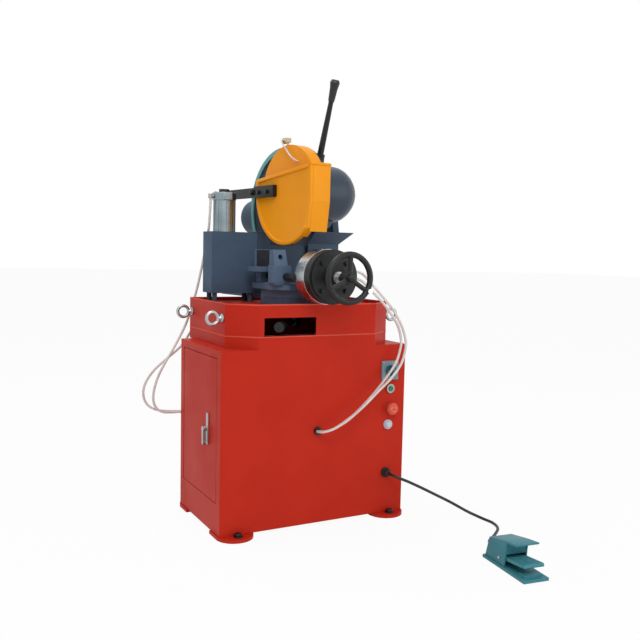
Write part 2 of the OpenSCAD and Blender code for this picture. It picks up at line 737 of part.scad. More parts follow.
// Swivel ring with arms to the column and to the guard's post
module swivel_base() color("#4d586a") turned() {
    difference() {
        union() {
            translate([0, 0, ring_z]) cylinder(h = ring_h, r = pedestal_r);
            translate([0, 0, arm_z])
                linear_extrude(arm_t) {
                    polygon([
                        [60, -60], [column_x + column_w + 6, column_y - 6],
                        [column_x + column_w + 6, column_y + column_d + 6], [column_x - 6, column_y + column_d + 6], [-20, 90]
                    ]);
                    polygon([
                        [post_x - 4, 60], [post_x + post_w + 4, 60],
                        [post_x + post_w + 4, pivot_y + post_d / 2 + 4], [post_x - 4, pivot_y + post_d / 2 + 4]
                    ]);
                }
            translate([column_x, column_y, arm_top - 1]) cube([column_w, column_d, column_top - arm_top + 1]);
            translate([rear_wall_x, rear_wall_y, arm_top - 1])
                cube([column_x - rear_wall_x + 1, rear_wall_t, rear_wall_top - arm_top + 1]);
            translate([rear_wall_x, rear_wall_y, arm_top - 1])
                cube([plate_x - 4 - rear_wall_x, rear_wall_t, rear_wall_high - arm_top + 1]);
            intersection() {
                profile_yz(column_x, column_w + flare_side)
                    polygon([
                        [column_y, column_top - 1], [column_y + column_d, column_top - 1],
                        [column_y + column_d + flare_back, flare_top], [column_y - flare_front, flare_top]
                    ]);
                translate([0, column_y + column_d + flare_back + step, 0]) rotate([90, 0, 0])
                    linear_extrude(column_d + flare_front + flare_back + 2 * step)
                        polygon([
                            [column_x, column_top - 1], [column_x + column_w, column_top - 1],
                            [column_x + column_w + flare_side, flare_top], [column_x, flare_top]
                        ]);
            }
            for (x = [ear_in, column_x + column_w - ear_w])
                profile_yz(x, ear_w)
                    union() {
                        translate([hinge_y, hinge_z]) circle(ear_r);
                        polygon([
                            [hinge_y - ear_r - 8, flare_top - 1], [hinge_y + ear_r + 8, flare_top - 1],
                            [hinge_y + ear_r - 3, hinge_z], [hinge_y - ear_r + 3, hinge_z]
                        ]);
                    }
            profile_yz(post_x, post_w) {
                translate([pivot_y - post_d / 2 + 2, arm_top - 1]) square([post_d - 4, pivot_z - arm_top + 1]);
                translate([pivot_y, pivot_z]) circle(d = post_d);
            }
        }
        translate([0, 0, ring_z - step]) cylinder(h = ring_h + 2 * step, r = hub_r + run_fit);
        bar_x(column_x - step, hinge_y, hinge_z, column_w + 2 * step, hinge_d);
        bar_x(post_x - step, pivot_y, pivot_z, post_w + 2 * step, pivot_d);
    }
}

// Pin that the head swings on
module hinge_pin() color("#9b9ea0") turned() {
    bar_x(ear_in - 3, hinge_y, hinge_z, column_x + column_w - ear_in + 6, hinge_d);
    for (x = [ear_in - 8, column_x + column_w]) bar_x(x, hinge_y, hinge_z, 8, hinge_d + 12);
}

// Gear case: round body with a domed end, the worm housing and the arm to the hinge
function dome_radius(t) = case_r * pow(cos(t), 1.4);
module gear_case() color("#566274") turned()
    difference() {
        union() {
            lathe_x(0, blade_y, blade_z)
                polygon(concat(
                    [[0, case_x], [case_r, case_x], [case_r, case_end]],
                    [for (t = [10 : 10 : 80]) [dome_radius(t), case_end + dome_l * sin(t)]],
                    [[0, case_end + dome_l]]
                ));
            bar_y(worm_x, -30, worm_z, motor_y + 30, 2 * worm_r);
            bar_y(worm_x, motor_y - 14, worm_z, 14, 2 * motor_r + 4);
            bar_x(barrel_x, hinge_y, hinge_z, barrel_end - barrel_x, 2 * ear_r - 6);
            translate([0, 0, swing_arm_z])
                linear_extrude(swing_arm_h)
                    polygon([
                        [case_end - 30, 40], [case_end + 25, 75], [barrel_x, hinge_y - 81], [barrel_x, hinge_y],
                        [barrel_end, hinge_y], [barrel_end, hinge_y - 36], [case_end + 75, 28]
                    ]);
            translate([handle_x, -30, blade_z + case_r - 12]) rotate([handle_lean, 0, 0]) cylinder(h = 28, d = 32);
        }
        bar_x(barrel_x - step, hinge_y, hinge_z, barrel_end - barrel_x + 2 * step, hinge_d + 2 * run_fit);
        bar_x(case_x - step, blade_y, blade_z, 60, arbor_d + 2 * run_fit);
    }

// Motor behind the worm housing: body, cooling ribs and fan cover
rib_count = 24;
module motor() color("#5b687a") turned() {
    fan_l = 95;
    bar_y(worm_x, motor_y, worm_z, motor_l - fan_l, 2 * motor_r - 8);
    for (i = [0 : rib_count - 1])
        translate([worm_x, motor_y + 18, worm_z]) rotate([0, 360 / rib_count * i, 0])
            translate([-1.5, 0, 0]) cube([3, motor_l - fan_l - 18, motor_r]);
    lathe_y(worm_x, motor_y + motor_l - fan_l, worm_z)
        polygon([[0, 0], [motor_r + 2, 0], [motor_r + 2, fan_l - 22], [motor_r - 14, fan_l - 4], [motor_r - 24, fan_l], [0, fan_l]]);
}

// Plate behind the blade: round behind, and seated inside the hood's rim in front
module plate_outline(inset) {
    intersection() {
        translate([plate_back_y, plate_back_z]) circle(plate_r - inset, $fn = 96);
        translate([plate_front_y, plate_cut_z]) square([2 * plate_r, 2 * plate_r]);
    }
}
module back_plate() color("#39424f") turned()
    profile_yz(plate_x + plate_set, plate_t - plate_set)
        difference() {
            union() {
                plate_outline(plate_rim);
                intersection() {
                    translate([blade_y, blade_z]) circle(hood_in - 1, $fn = 96);
                    translate([blade_y - hood_r, blade_z - hood_low]) square([2 * hood_r, 2 * hood_r]);
                }
            }
            translate([blade_y, blade_z]) circle(boss_r);
            rim_outline();
        }

// Raised rim round the back plate's rear edge
module rim_outline() {
    intersection() {
        difference() {
            plate_outline(0);
            plate_outline(plate_rim);
        }
        translate([rim_start_y, plate_cut_z]) square([2 * plate_r, 2 * plate_r]);
    }
}
module plate_rim_band() color("#3f9fa3") turned() profile_yz(plate_x, plate_t) rim_outline();

// Fixed half-round hood over the blade
module hood() color("#eda92c") turned()
    difference() {
        intersection() {
            bar_x(-hood_face, blade_y, blade_z, hood_face + plate_x, 2 * hood_r);
            translate([-hood_face - step, blade_y - hood_r - step, blade_z - hood_low])
                cube([hood_face + plate_x + 2 * step, 2 * hood_r + 2 * step, 2 * hood_r]);
        }
        bar_x(-hood_face + guard_t, blade_y, blade_z, hood_face + plate_x, 2 * hood_in);
        translate([tap_x, blade_y + hood_r * cos(tap_angle), blade_z]) cylinder(h = 2 * hood_r, d = 8);
    }

// Spindle with its inner flange
module spindle() color("#a3a8ab") turned() {
    bar_x(blade_t / 2, blade_y, blade_z, case_x + 50 - blade_t / 2, arbor_d);
    bar_x(blade_t / 2, blade_y, blade_z, flange_t, flange_d - 10);
    bar_x(-flange_t - nut_t - blade_t / 2 - 4, blade_y, blade_z, flange_t + nut_t + blade_t + 5, arbor_d);
}

// Saw blade: raked teeth round the rim and drive holes round the bore
tooth_depth = 4;
drive_holes = 4;
module blade() color("#aab2b6") turned()
    translate([-blade_t / 2, blade_y, blade_z]) rotate([90, 0, 90])
        linear_extrude(blade_t)
            difference() {
                polygon([
                    for (i = [0 : blade_teeth - 1]) let (a = 360 / blade_teeth * i, w = 360 / blade_teeth) each [
                        blade_r * [cos(a), sin(a)],
                        (blade_r - tooth_depth) * [cos(a + 0.12 * w), sin(a + 0.12 * w)],
                        (blade_r - tooth_depth * 0.8) * [cos(a + 0.5 * w), sin(a + 0.5 * w)]
                    ]
                ]);
                circle(d = arbor_d);
                for (k = [0 : drive_holes - 1])
                    rotate(45 + 360 / drive_holes * k) translate([32, 0]) circle(d = 9);
            }

// Outer flange and nut that clamp the blade
module blade_flange() color("#8c9194") turned()
    difference() {
        union() {
            bar_x(-blade_t / 2 - flange_t, blade_y, blade_z, flange_t, flange_d);
            translate([-blade_t / 2 - flange_t - nut_t, blade_y, blade_z]) rotate([0, 90, 0])
                cylinder(h = nut_t, d = 52, $fn = 6);
        }
        bar_x(-60, blade_y, blade_z, 70, arbor_d);
    }

// Pull handle: a collar and a tapered rod leaning to the front
module handle_place() turned()
    translate([handle_x, -30, blade_z + case_r - 12]) rotate([handle_lean, 0, 0]) children();
module pull_handle() color("#252628") handle_place() {
    translate([0, 0, 28]) cylinder(h = 16, d = 30);
    translate([0, 0, 44]) cylinder(h = handle_l - grip_l - 44, d1 = handle_d, d2 = handle_d - 5);
}
module handle_grip() color("#1c1d1f") handle_place()
    translate([0, 0, handle_l - grip_l])
        rotate_extrude()
            polygon([[0, 0], [8.5, 0], [10, 6], [grip_d / 2 - 3, grip_l * 0.6], [grip_d / 2, grip_l - 8], [grip_d / 2 - 4, grip_l], [0, grip_l]]);

// Coolant tap on the hood, its knob, and the thin tube over the hood's face
tap_y = blade_y + hood_r * cos(tap_angle);
tap_z = blade_z + hood_r * sin(tap_angle);
tap_l = 26;
module coolant_tap() color("#d8cfa8") turned()
    difference() {
        union() {
            translate([tap_x, tap_y, tap_z - 8]) cylinder(h = 8 + tap_l, d = 7.8);
            translate([tap_x, tap_y, tap_z + 1]) cylinder(h = 5, d = 15, $fn = 6);
            translate([tap_x - 8, tap_y - 7, tap_z + tap_l - 10]) cube([16, 14, 14]);
            bar_x(tap_x - 20, tap_y, tap_z + tap_l - 3, 14, 8);
        }
        bar_y(tap_x, tap_y + 1, tap_z + tap_l - 3, 12, 5 + 2 * run_fit);
    }
module tap_knob() color("#2c2c2e") turned() {
    bar_y(tap_x, tap_y + 2, tap_z + tap_l - 3, 12, 5);
    bar_y(tap_x, tap_y + 8, tap_z + tap_l - 3, 12, 18);
}
coolant_tube_d = 5;
coolant_tube_route = [
    [tap_x - 20, tap_y, tap_z + tap_l - 3], [tap_x - 27, tap_y - 3, tap_z + tap_l - 5],
    [-41, tap_y - 16, tap_z + 10], [-41, tap_y - 40, tap_z - 14], [-41, tap_y - 66, tap_z - 36],
    [-hood_face - 7, tap_y - 84, tap_z - 47], [-hood_face, tap_y - 90, tap_z - 50]
];
module coolant_tube() color("#e7dcd8") turned() cord(coolant_tube_route, coolant_tube_d);

// Guard: flat left face with a raised rim, a bent front wall, open below for the blade
function guard_top(y) = guard_top_rear + (guard_top_front - guard_top_rear) * (guard_rear - y) / (guard_rear - wall_y);
module guard_outline(inset) {
    r = guard_r - inset;
    intersection() {
        union() {
            translate([guard_y, guard_z]) circle(r, $fn = 96);
            translate([guard_y - r, guard_z]) square([2 * r, 200]);
        }
        polygon([
            [wall_y + inset, wall_low_z - 80], [wall_y + inset, guard_top(wall_y) - inset],
            [guard_rear - inset, guard_top_rear - inset], [guard_rear - inset, wall_low_z - 80]
        ]);
    }
}
module guard() color("#e8951f") turned()
    difference() {
        union() {
            profile_yz(-guard_face, guard_t) guard_outline(0);
            profile_yz(-guard_face, lip)
                difference() {
                    guard_outline(0);
                    guard_outline(guard_t);
                }
            profile_yz(-guard_face, guard_w)
                polygon([
                    [wall_y, guard_top(wall_y)], [wall_y, wall_bend_z], [wall_y + wall_lean, wall_low_z],
                    [wall_y + wall_lean + guard_t, wall_low_z], [wall_y + guard_t, wall_bend_z],
                    [wall_y + guard_t, guard_top(wall_y)]
                ]);
            profile_yz(-guard_face - bead_t, bead_t + 1)
                difference() {
                    guard_outline(0);
                    guard_outline(bead_w);
                }
        }
        for (y = guard_bolt_y)
            bar_x(-guard_face - 20, y, pivot_z, 40, 8);
    }

// Bar that carries the guard, bolted to its face and hinged on the post
guard_bolt_y = [56, 104];
module guard_bar() color("#26272a") turned()
    difference() {
        union() {
            translate([bar_x, bar_front, pivot_z - bar_h / 2])
                cube([bar_t, guard_rear - bar_front, bar_h + 3]);
            translate([bar_x, guard_rear - 1, pivot_z - bar_h / 2 + 1])
                cube([bar_t, pivot_y - guard_rear + 1, bar_h - 2]);
            bar_x(bar_x, pivot_y, pivot_z, bar_t, bar_h);
            translate([bar_x + 1, bar_front, pivot_z - bar_h / 2])
                cube([bar_t + bead_t - 1, guard_rear - bar_front - 14, bar_h + 3]);
        }
        bar_x(bar_x - step, pivot_y, pivot_z, bar_t + 2 * step, pivot_d + 2 * run_fit);
        for (y = guard_bolt_y) bar_x(bar_x - step, y, pivot_z, bar_t + bead_t + 2 * step, 8);
    }

// Bolts through the bar into the guard's face
module guard_bolts() color("#4a4c4f") turned()
    for (y = guard_bolt_y) {
        bar_x(bar_x - 6, y, pivot_z, 6, 13);
        bar_x(bar_x, y, pivot_z, bar_t + bead_t + guard_t + 6, 8);
        bar_x(-guard_face + guard_t, y, pivot_z, 6, 13);
    }

// Pin of the guard's bar in its post
module guard_pin() color("#77797c") turned() {
    bar_x(bar_x - 8, pivot_y, pivot_z, 8 - turn_gap, pivot_d + 10);
    bar_x(bar_x - 1, pivot_y, pivot_z, bar_t + turn_gap + post_w + 1, pivot_d);
}

// Feed tank: aluminium tube between round end caps
module feed_tank() color("#b6bfc3")
    translate([tank_x, tank_y, 0]) {
        translate([0, 0, tank_z]) cylinder(h = tank_h, d = tank_d);
        for (z = [tank_z, tank_top - cap_h]) translate([0, 0, z]) cylinder(h = cap_h, d = tank_cap);
    }

// Filler plug on the tank's top
module filler_plug() color("#202224")
    translate([tank_x, tank_y, tank_top]) {
        cylinder(h = 3, d = 24);
        translate([0, 0, 3]) cylinder(h = 7, d = 33);
    }

// Folded sheet box round the tank on four short legs
module tank_box() color("#3d4858") {
    difference() {
        translate([box_x, box_y, box_z]) cube([box_w, box_d, box_h]);
        translate([box_x + box_sheet, box_y + box_sheet, box_z + box_sheet])
            cube([box_w - 2 * box_sheet, box_d, box_h]);
    }
    translate([tank_x, tank_y, box_z + 1]) cylinder(h = tank_z - box_z - 1, d = tank_cap - 4);
    for (x = [box_x + 16, box_x + box_w - 16], y = [box_y + 16, box_y + box_d - 16])
        translate([x, y, deck_z]) cylinder(h = box_z - deck_z + eps, d = leg_d);
}

// Push-in fittings on the tank, the tray's rear and the vise cylinder
tray_port = [-tray_x + 45, seam_z + 19];
vise_port_x = 106;
vise_ports = [[band_y - band_l / 2, vise_z + 15], [band_y - band_l / 2, vise_z - 7]];
module hose_fittings() color("#8d9092") {
    bar_x(elbow_x, tank_y, port_z, tank_x - tank_cap / 2 - elbow_x + 1, elbow_d - step);
    translate([elbow_x, tank_y, port_z - elbow_d / 2]) cylinder(h = elbow_d, d = elbow_d);
    bar_y(tray_port[0], tray_rear, tray_port[1], 12, 14);
    for (p = vise_ports) bar_x(band_r - 4, p[0], p[1], vise_port_x - band_r + 4, 12);
}

// Main switch: square plate and a turning knob
module switch_plate() color("#8fa3a8")
    difference() {
        translate([panel_x - switch_side / 2, front_y - 6, switch_z - switch_side / 2])
            cube([switch_side, 6, switch_side]);
        bar_y(panel_x, front_y - 8, switch_z, 10, 12 + 2 * run_fit);
    }
module switch_knob() color("#1f3f47") {
    bar_y(panel_x, front_y - 14, switch_z, 14 - slide_gap, 12);
    bar_y(panel_x, front_y - 14, switch_z, 14 - 6 - slide_gap, 34);
    translate([panel_x - 5, front_y - 26, switch_z - 17]) cube([10, 12 + eps, 34]);
}

// Metal rings of the start and stop buttons
module button_rings() color("#c9ccce")
    for (b = [[start_z, button_d, 17], [stop_z, button_d, 20]])
        difference() {
            bar_y(panel_x + 4, front_y - 6, b[0], 6, b[1]);
            bar_y(panel_x + 4, front_y - 10, b[0], 20, b[2]);
        }
module start_button() color("#1f8a4c")
    bar_y(panel_x + 4, front_y - 6 - button_travel, start_z, 6 - turn_gap, 17 - 2 * turn_gap);
module stop_button() color("#d3352b") {
    bar_y(panel_x + 4, front_y - 13, stop_z, 13 - stop_travel - turn_gap, 20 - 2 * turn_gap);
    lathe_y(panel_x + 4, front_y - 26, stop_z)
        polygon([[0, 0], [stop_d / 2 - 8, 0], [stop_d / 2 - 2, 3], [stop_d / 2, 8], [stop_d / 2 - 3, 14], [0, 14]]);
}

// Signal lamp with a domed lens
module signal_lamp() color("#dfe2e2")
    lathe_y(panel_x - 2, front_y - 16, lamp_z)
        polygon([[0, 0], [7, 1], [11, 4], [13, 10], [15, 10], [15, 16], [0, 16]]);

// Cable and hose outlets on the cabinet
module glands() color("#242526") {
    bar_y(0, front_y - 9, hose_gland_z, 9, gland_d + 4);
    lathe_y(cable_gland_x, front_y - 23, cable_gland_z)
        polygon([[0, 0], [8, 0], [11, 6], [14, 17], [16, 17], [16, 23], [0, 23]]);
    for (x = [back_gland_x, back_gland_x + 22])
        bar_y(x, cabinet_y, back_gland_z, 4, gland_d - 4);
}

module feed_hose_long() color("#d9d2cf") cord(feed_hose_long_route, hose_d);
module feed_hose_short() color("#d9d2cf") cord(feed_hose_short_route, hose_d);
module vise_hose_inner() color("#dcd3d1") cord(vise_hose_inner_route, hose_d);
module vise_hose_outer() color("#dcd3d1") cord(vise_hose_outer_route, hose_d);
module pedal_cable() color("#1d1e1f") cord(pedal_cable_route, cable_d);

// Foot pedal: a base plate, a cover open to the front, and a hinged tread
module pedal_place() translate([pedal_at[0], pedal_at[1], 0]) rotate([0, 0, pedal_turn]) children();
pedal_x = pedal_w / 2;
cover_l = 150;
module pedal_base() color("#4d8f94") pedal_place() {
    translate([-pedal_x, -pedal_l, 0]) cube([pedal_w, pedal_l, pedal_base_t]);
    translate([-pedal_x + 10, -pedal_l + 14, pedal_base_t - eps]) cube([pedal_w - 20, 26, 6]);
}
module pedal_cover() color("#5aa0a5") pedal_place()
    difference() {
        union() {
            profile_yz(-pedal_x + 3, pedal_w - 6)
                polygon([
                    [-6, pedal_base_t], [-6, 50], [-30, pedal_h - 12], [-60, pedal_h], [-cover_l, pedal_h - 8],
                    [-cover_l, pedal_h - 14], [-104, pedal_h - 22], [-94, pedal_base_t]
                ]);
            bar_y(0, -8, 22, 10, 16);
        }
        profile_yz(-pedal_x + 3 + pedal_wall, pedal_w - 6 - 2 * pedal_wall)
            polygon([
                [-6 - pedal_wall, pedal_base_t - step], [-6 - pedal_wall, 48], [-32, pedal_h - 17], [-60, pedal_h - pedal_wall],
                [-cover_l - step, pedal_h - 8 - pedal_wall], [-cover_l - step, pedal_base_t - step]
            ]);
        bar_x(-pedal_w, pedal_hinge_y, pedal_hinge_z, 2 * pedal_w, pedal_pin_d);
    }
tread_in = pedal_x - 3 - pedal_wall - 1;
module pedal_plate() color("#69aeb2") pedal_place()
    difference() {
        union() {
            profile_yz(-tread_in, 2 * tread_in) {
                polygon([
                    [pedal_hinge_y + 6, pedal_hinge_z - 4], [pedal_hinge_y + 6, pedal_hinge_z + 5],
                    [pedal_hinge_y - pedal_tread_l + 4, pedal_hinge_z + 17], [pedal_hinge_y - pedal_tread_l, pedal_hinge_z + 11],
                    [pedal_hinge_y - pedal_tread_l + 2, pedal_hinge_z + 8]
                ]);
                translate([pedal_hinge_y, pedal_hinge_z]) circle(8);
            }
        }
        bar_x(-pedal_w, pedal_hinge_y, pedal_hinge_z, 2 * pedal_w, pedal_pin_d + 2 * run_fit);
    }
module pedal_pin() color("#9b9ea0") pedal_place()
    bar_x(-pedal_x + 1, pedal_hinge_y, pedal_hinge_z, pedal_w - 2, pedal_pin_d);

cabinet();
feet();
door();
door_latch();
tray();
lifting_eyes();
swivel_lock();
vise_base();
fixed_jaw_plates();
vise_cylinder();
cylinder_band();
cylinder_bolts();
guide_rods();
moving_jaw();
jaw_plates();
vise_screw();
handwheel();
wheel_knob();
swivel_base();
hinge_pin();
gear_case();
motor();
back_plate();
plate_rim_band();
hood();
spindle();
blade();
blade_flange();
pull_handle();
handle_grip();
coolant_tap();
tap_knob();
coolant_tube();
guard();
guard_bar();
guard_bolts();
guard_pin();
feed_tank();
filler_plug();
tank_box();
hose_fittings();
switch_plate();
switch_knob();
button_rings();
start_button();
stop_button();
signal_lamp();
glands();
feed_hose_long();
feed_hose_short();
vise_hose_inner();
vise_hose_outer();
pedal_base();
pedal_cover();
pedal_plate();
pedal_pin();
pedal_cable();
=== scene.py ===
"""Looks of a pneumatic cold saw on a red cabinet, with a foot pedal on a cable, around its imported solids."""

import json
import math

import bpy
from mathutils import Matrix, Vector


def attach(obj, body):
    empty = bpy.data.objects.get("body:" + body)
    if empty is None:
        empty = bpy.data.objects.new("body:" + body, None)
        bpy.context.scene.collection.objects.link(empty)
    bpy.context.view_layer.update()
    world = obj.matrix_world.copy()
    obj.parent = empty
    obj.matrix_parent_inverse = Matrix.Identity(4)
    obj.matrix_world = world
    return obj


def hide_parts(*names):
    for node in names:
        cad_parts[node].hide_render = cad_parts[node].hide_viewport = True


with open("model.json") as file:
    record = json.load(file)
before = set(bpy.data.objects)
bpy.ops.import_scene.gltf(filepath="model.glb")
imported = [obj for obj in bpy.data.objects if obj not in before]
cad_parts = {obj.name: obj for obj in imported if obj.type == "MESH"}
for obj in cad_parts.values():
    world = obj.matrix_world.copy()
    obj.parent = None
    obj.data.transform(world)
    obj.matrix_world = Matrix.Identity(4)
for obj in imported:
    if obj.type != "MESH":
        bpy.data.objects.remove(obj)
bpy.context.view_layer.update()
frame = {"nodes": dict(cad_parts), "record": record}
nodes = frame["nodes"]
slot_of = {part["node"]: part["material_slot"] for part in frame["record"]["subparts"]}

RIGHT, LEFT = (1.0, 0.0, 0.0), (-1.0, 0.0, 0.0)
FRONT, BACK = (0.0, -1.0, 0.0), (0.0, 1.0, 0.0)

# Head: turned counter-clockwise, seen from above, as in the photograph
TURN_ANGLE = math.radians(8)
HEAD_TURN = Matrix.Rotation(TURN_ANGLE, 4, "Z")

# Camera: the photograph's own view
CAMERA_AT = (-1.101, -2.221, 0.826)
CAMERA_AZIMUTH = math.radians(-28.31)
CAMERA_ELEVATION = math.radians(4.89)
CAMERA_ROLL = math.radians(1.22)
CAMERA_LENS = 44.17
CAMERA_SENSOR = 36.0


def place_camera():
    """Puts the camera at the photograph's viewing angle."""
    data = bpy.data.cameras.new("camera")
    data.lens = CAMERA_LENS
    data.sensor_width = CAMERA_SENSOR
    data.sensor_fit = "HORIZONTAL"
    camera = bpy.data.objects.new("camera", data)
    bpy.context.scene.collection.objects.link(camera)
    turn = Matrix.Rotation(CAMERA_AZIMUTH, 4, "Z")
    tilt = Matrix.Rotation(math.pi / 2 - CAMERA_ELEVATION, 4, "X")
    roll = Matrix.Rotation(CAMERA_ROLL, 4, "Z")
    camera.matrix_world = Matrix.Translation(CAMERA_AT) @ turn @ tilt @ roll
    bpy.context.scene.camera = camera


# Hoses and cable: the routes of their middle lines, in metres
HOSE_D = 0.008
CABLE_D = 0.009
COOLANT_D = 0.005

FEED_HOSE_LONG = [
    (-0.2290, 0.1420, 0.9900), (-0.2290, 0.1420, 0.9720), (-0.2290, 0.1450, 0.9490),
    (-0.2280, 0.1530, 0.9150), (-0.2275, 0.1650, 0.8800), (-0.2285, 0.1800, 0.8450),
    (-0.2320, 0.1930, 0.8000), (-0.2390, 0.2030, 0.7480), (-0.2500, 0.2110, 0.6900),
    (-0.2650, 0.2180, 0.6320), (-0.2840, 0.2220, 0.5770), (-0.3210, 0.2240, 0.5060),
    (-0.3480, 0.2240, 0.4620), (-0.3690, 0.2240, 0.4220), (-0.3820, 0.2240, 0.3840),
    (-0.3866, 0.2240, 0.3520), (-0.3830, 0.2236, 0.3290), (-0.3720, 0.2230, 0.3120),
    (-0.3540, 0.2224, 0.3020), (-0.3310, 0.2214, 0.2994), (-0.3080, 0.2194, 0.2990),
    (-0.2934, 0.2155, 0.2990), (-0.2811, 0.2065, 0.2990), (-0.2729, 0.1937, 0.2990),
    (-0.2700, 0.1790, 0.2990),
]
FEED_HOSE_SHORT = [
    (-0.2300, 0.2070, 0.6000), (-0.2315, 0.2215, 0.5975), (-0.2358, 0.2339, 0.5905),
    (-0.2422, 0.2421, 0.5800), (-0.2500, 0.2460, 0.5676), (-0.2620, 0.2476, 0.5470),
    (-0.2790, 0.2480, 0.5210), (-0.3030, 0.2480, 0.4970), (-0.3340, 0.2480, 0.4730),
    (-0.3690, 0.2480, 0.4440), (-0.3950, 0.2470, 0.4140), (-0.4100, 0.2460, 0.3850),
    (-0.4130, 0.2440, 0.3580), (-0.4060, 0.2420, 0.3340), (-0.3890, 0.2390, 0.3160),
    (-0.3640, 0.2360, 0.3060), (-0.3360, 0.2344, 0.3014), (-0.3100, 0.2316, 0.2998),
    (-0.2880, 0.2264, 0.2990), (-0.2720, 0.2196, 0.2990), (-0.2594, 0.2090, 0.2990),
    (-0.2510, 0.1947, 0.2990), (-0.2480, 0.1790, 0.2990),
]
VISE_HOSE_INNER = [
    (0.1060, -0.1940, 0.7498), (0.1190, -0.1944, 0.7486), (0.1320, -0.1956, 0.7426),
    (0.1450, -0.1970, 0.7320), (0.1630, -0.1990, 0.7150), (0.2000, -0.2020, 0.6810),
    (0.2290, -0.2050, 0.6480), (0.2570, -0.2080, 0.6060), (0.2690, -0.2100, 0.5630),
    (0.2650, -0.2120, 0.5310), (0.2480, -0.2140, 0.4900), (0.2090, -0.2160, 0.4420),
    (0.1610, -0.2186, 0.3940), (0.1080, -0.2210, 0.3500), (0.0640, -0.2226, 0.3230),
    (0.0389, -0.2218, 0.3094), (0.0258, -0.2190, 0.3031), (0.0146, -0.2109, 0.2978),
    (0.0072, -0.1985, 0.2942), (0.0046, -0.1840, 0.2930),
]
VISE_HOSE_OUTER = [
    (0.1060, -0.1940, 0.7718), (0.1200, -0.1946, 0.7706), (0.1340, -0.1964, 0.7636),
    (0.1480, -0.1990, 0.7506), (0.1750, -0.2026, 0.7220), (0.2100, -0.2070, 0.6860),
    (0.2410, -0.2110, 0.6500), (0.2680, -0.2160, 0.6020), (0.2810, -0.2190, 0.5560),
    (0.2760, -0.2210, 0.5220), (0.2610, -0.2230, 0.4860), (0.2260, -0.2250, 0.4470),
    (0.1770, -0.2274, 0.4080), (0.1240, -0.2304, 0.3660), (0.0720, -0.2324, 0.3310),
    (0.0369, -0.2310, 0.3128), (0.0210, -0.2268, 0.3052), (0.0076, -0.2165, 0.2988),
    (-0.0014, -0.2016, 0.2945), (-0.0046, -0.1840, 0.2930),
]
PEDAL_CABLE = [
    (0.2470, -0.1980, 0.1380), (0.2499, -0.2141, 0.1368), (0.2583, -0.2277, 0.1332),
    (0.2709, -0.2368, 0.1279), (0.2860, -0.2416, 0.1214), (0.3060, -0.2450, 0.1116),
    (0.3380, -0.2490, 0.0954), (0.3840, -0.2560, 0.0710), (0.4340, -0.2740, 0.0440),
    (0.4760, -0.3060, 0.0180), (0.5000, -0.3500, 0.0060), (0.5040, -0.3960, 0.0050),
    (0.4860, -0.4400, 0.0050), (0.4420, -0.4780, 0.0050), (0.3980, -0.5100, 0.0080),
    (0.3660, -0.5420, 0.0180), (0.3470, -0.5720, 0.0220), (0.3420, -0.5900, 0.0220),
]
COOLANT_TUBE = [
    (-0.0300, 0.0348, 1.1747), (-0.0370, 0.0318, 1.1727), (-0.0410, 0.0188, 1.1617),
    (-0.0410, -0.0052, 1.1377), (-0.0410, -0.0312, 1.1157), (-0.0370, -0.0492, 1.1047),
    (-0.0300, -0.0552, 1.1017),
]
CORD_STEPS = 10
CORD_ROUNDNESS = 4
BEAD_ROUNDNESS = 3


def smooth_route(route, steps=CORD_STEPS):
    """Points of the smooth curve that runs through every point of a route."""
    points = []
    last = len(route) - 1
    for k in range(last):
        before, start, end, after = (Vector(route[i]) for i in (max(k - 1, 0), k, k + 1, min(k + 2, last)))
        for step in range(steps):
            t = step / steps
            points.append(0.5 * (
                2 * start + (end - before) * t
                + (2 * before - 5 * start + 4 * end - after) * t * t
                + (3 * start - before - 3 * end + after) * t ** 3
            ))
    points.append(Vector(route[last]))
    return points


def round_line(name, points, radius, roundness, closed=False):
    """A round line through points, as one curve."""
    data = bpy.data.curves.new(name, "CURVE")
    data.dimensions = "3D"
    data.bevel_depth = radius
    data.bevel_resolution = roundness
    data.use_fill_caps = True
    spline = data.splines.new("POLY")
    spline.points.add(len(points) - 1)
    spline.use_cyclic_u = closed
    for knot, point in zip(spline.points, points):
        knot.co = (*point, 1.0)
    line = bpy.data.objects.new(name, data)
    bpy.context.scene.collection.objects.link(line)
    return line


def lay_cord(name, route, diameter, material):
    """A round cord along a route, and its length."""
    points = smooth_route(route)
    cord = round_line(name, points, diameter / 2, CORD_ROUNDNESS)
    cord.data.materials.append(material)
    length = sum((b - a).length for a, b in zip(points, points[1:]))
    return cord, length


# Finishes
EDGE_SAMPLES = 6
WORN_EDGE_R = 0.003
BLADE_CENTRE = (0.0, 0.0, 1.012)
BLADE_RING_SCALE = 420.0


def linear(red, green, blue):
    """A colour as the eye names it, 0 to 255, made linear."""
    def channel(value):
        value /= 255
        return value / 12.92 if value <= 0.04045 else ((value + 0.055) / 1.055) ** 2.4
    return (channel(red), channel(green), channel(blue), 1.0)


def add_node(tree, kind, **values):
    """A shader node with its settings and its plain socket values."""
    node = tree.nodes.new(kind)
    for key, value in values.items():
        if hasattr(node, key):
            setattr(node, key, value)
        else:
            node.inputs[key.replace("_", " ").title()].default_value = value
    return node


def use_group(tree, group, **values):
    """A node that places a group, with its inputs set by name."""
    return add_node(tree, "ShaderNodeGroup", node_tree=group, **values)


def new_group(name, inputs, outputs):
    """An empty shader node group with named float inputs and outputs."""
    group = bpy.data.node_groups.new(name, "ShaderNodeTree")
    for label, default in inputs:
        socket = group.interface.new_socket(label, in_out="INPUT", socket_type="NodeSocketFloat")
        socket.default_value = default
    for label in outputs:
        group.interface.new_socket(label, in_out="OUTPUT", socket_type="NodeSocketFloat")
    return group, group.nodes.new("NodeGroupInput"), group.nodes.new("NodeGroupOutput")


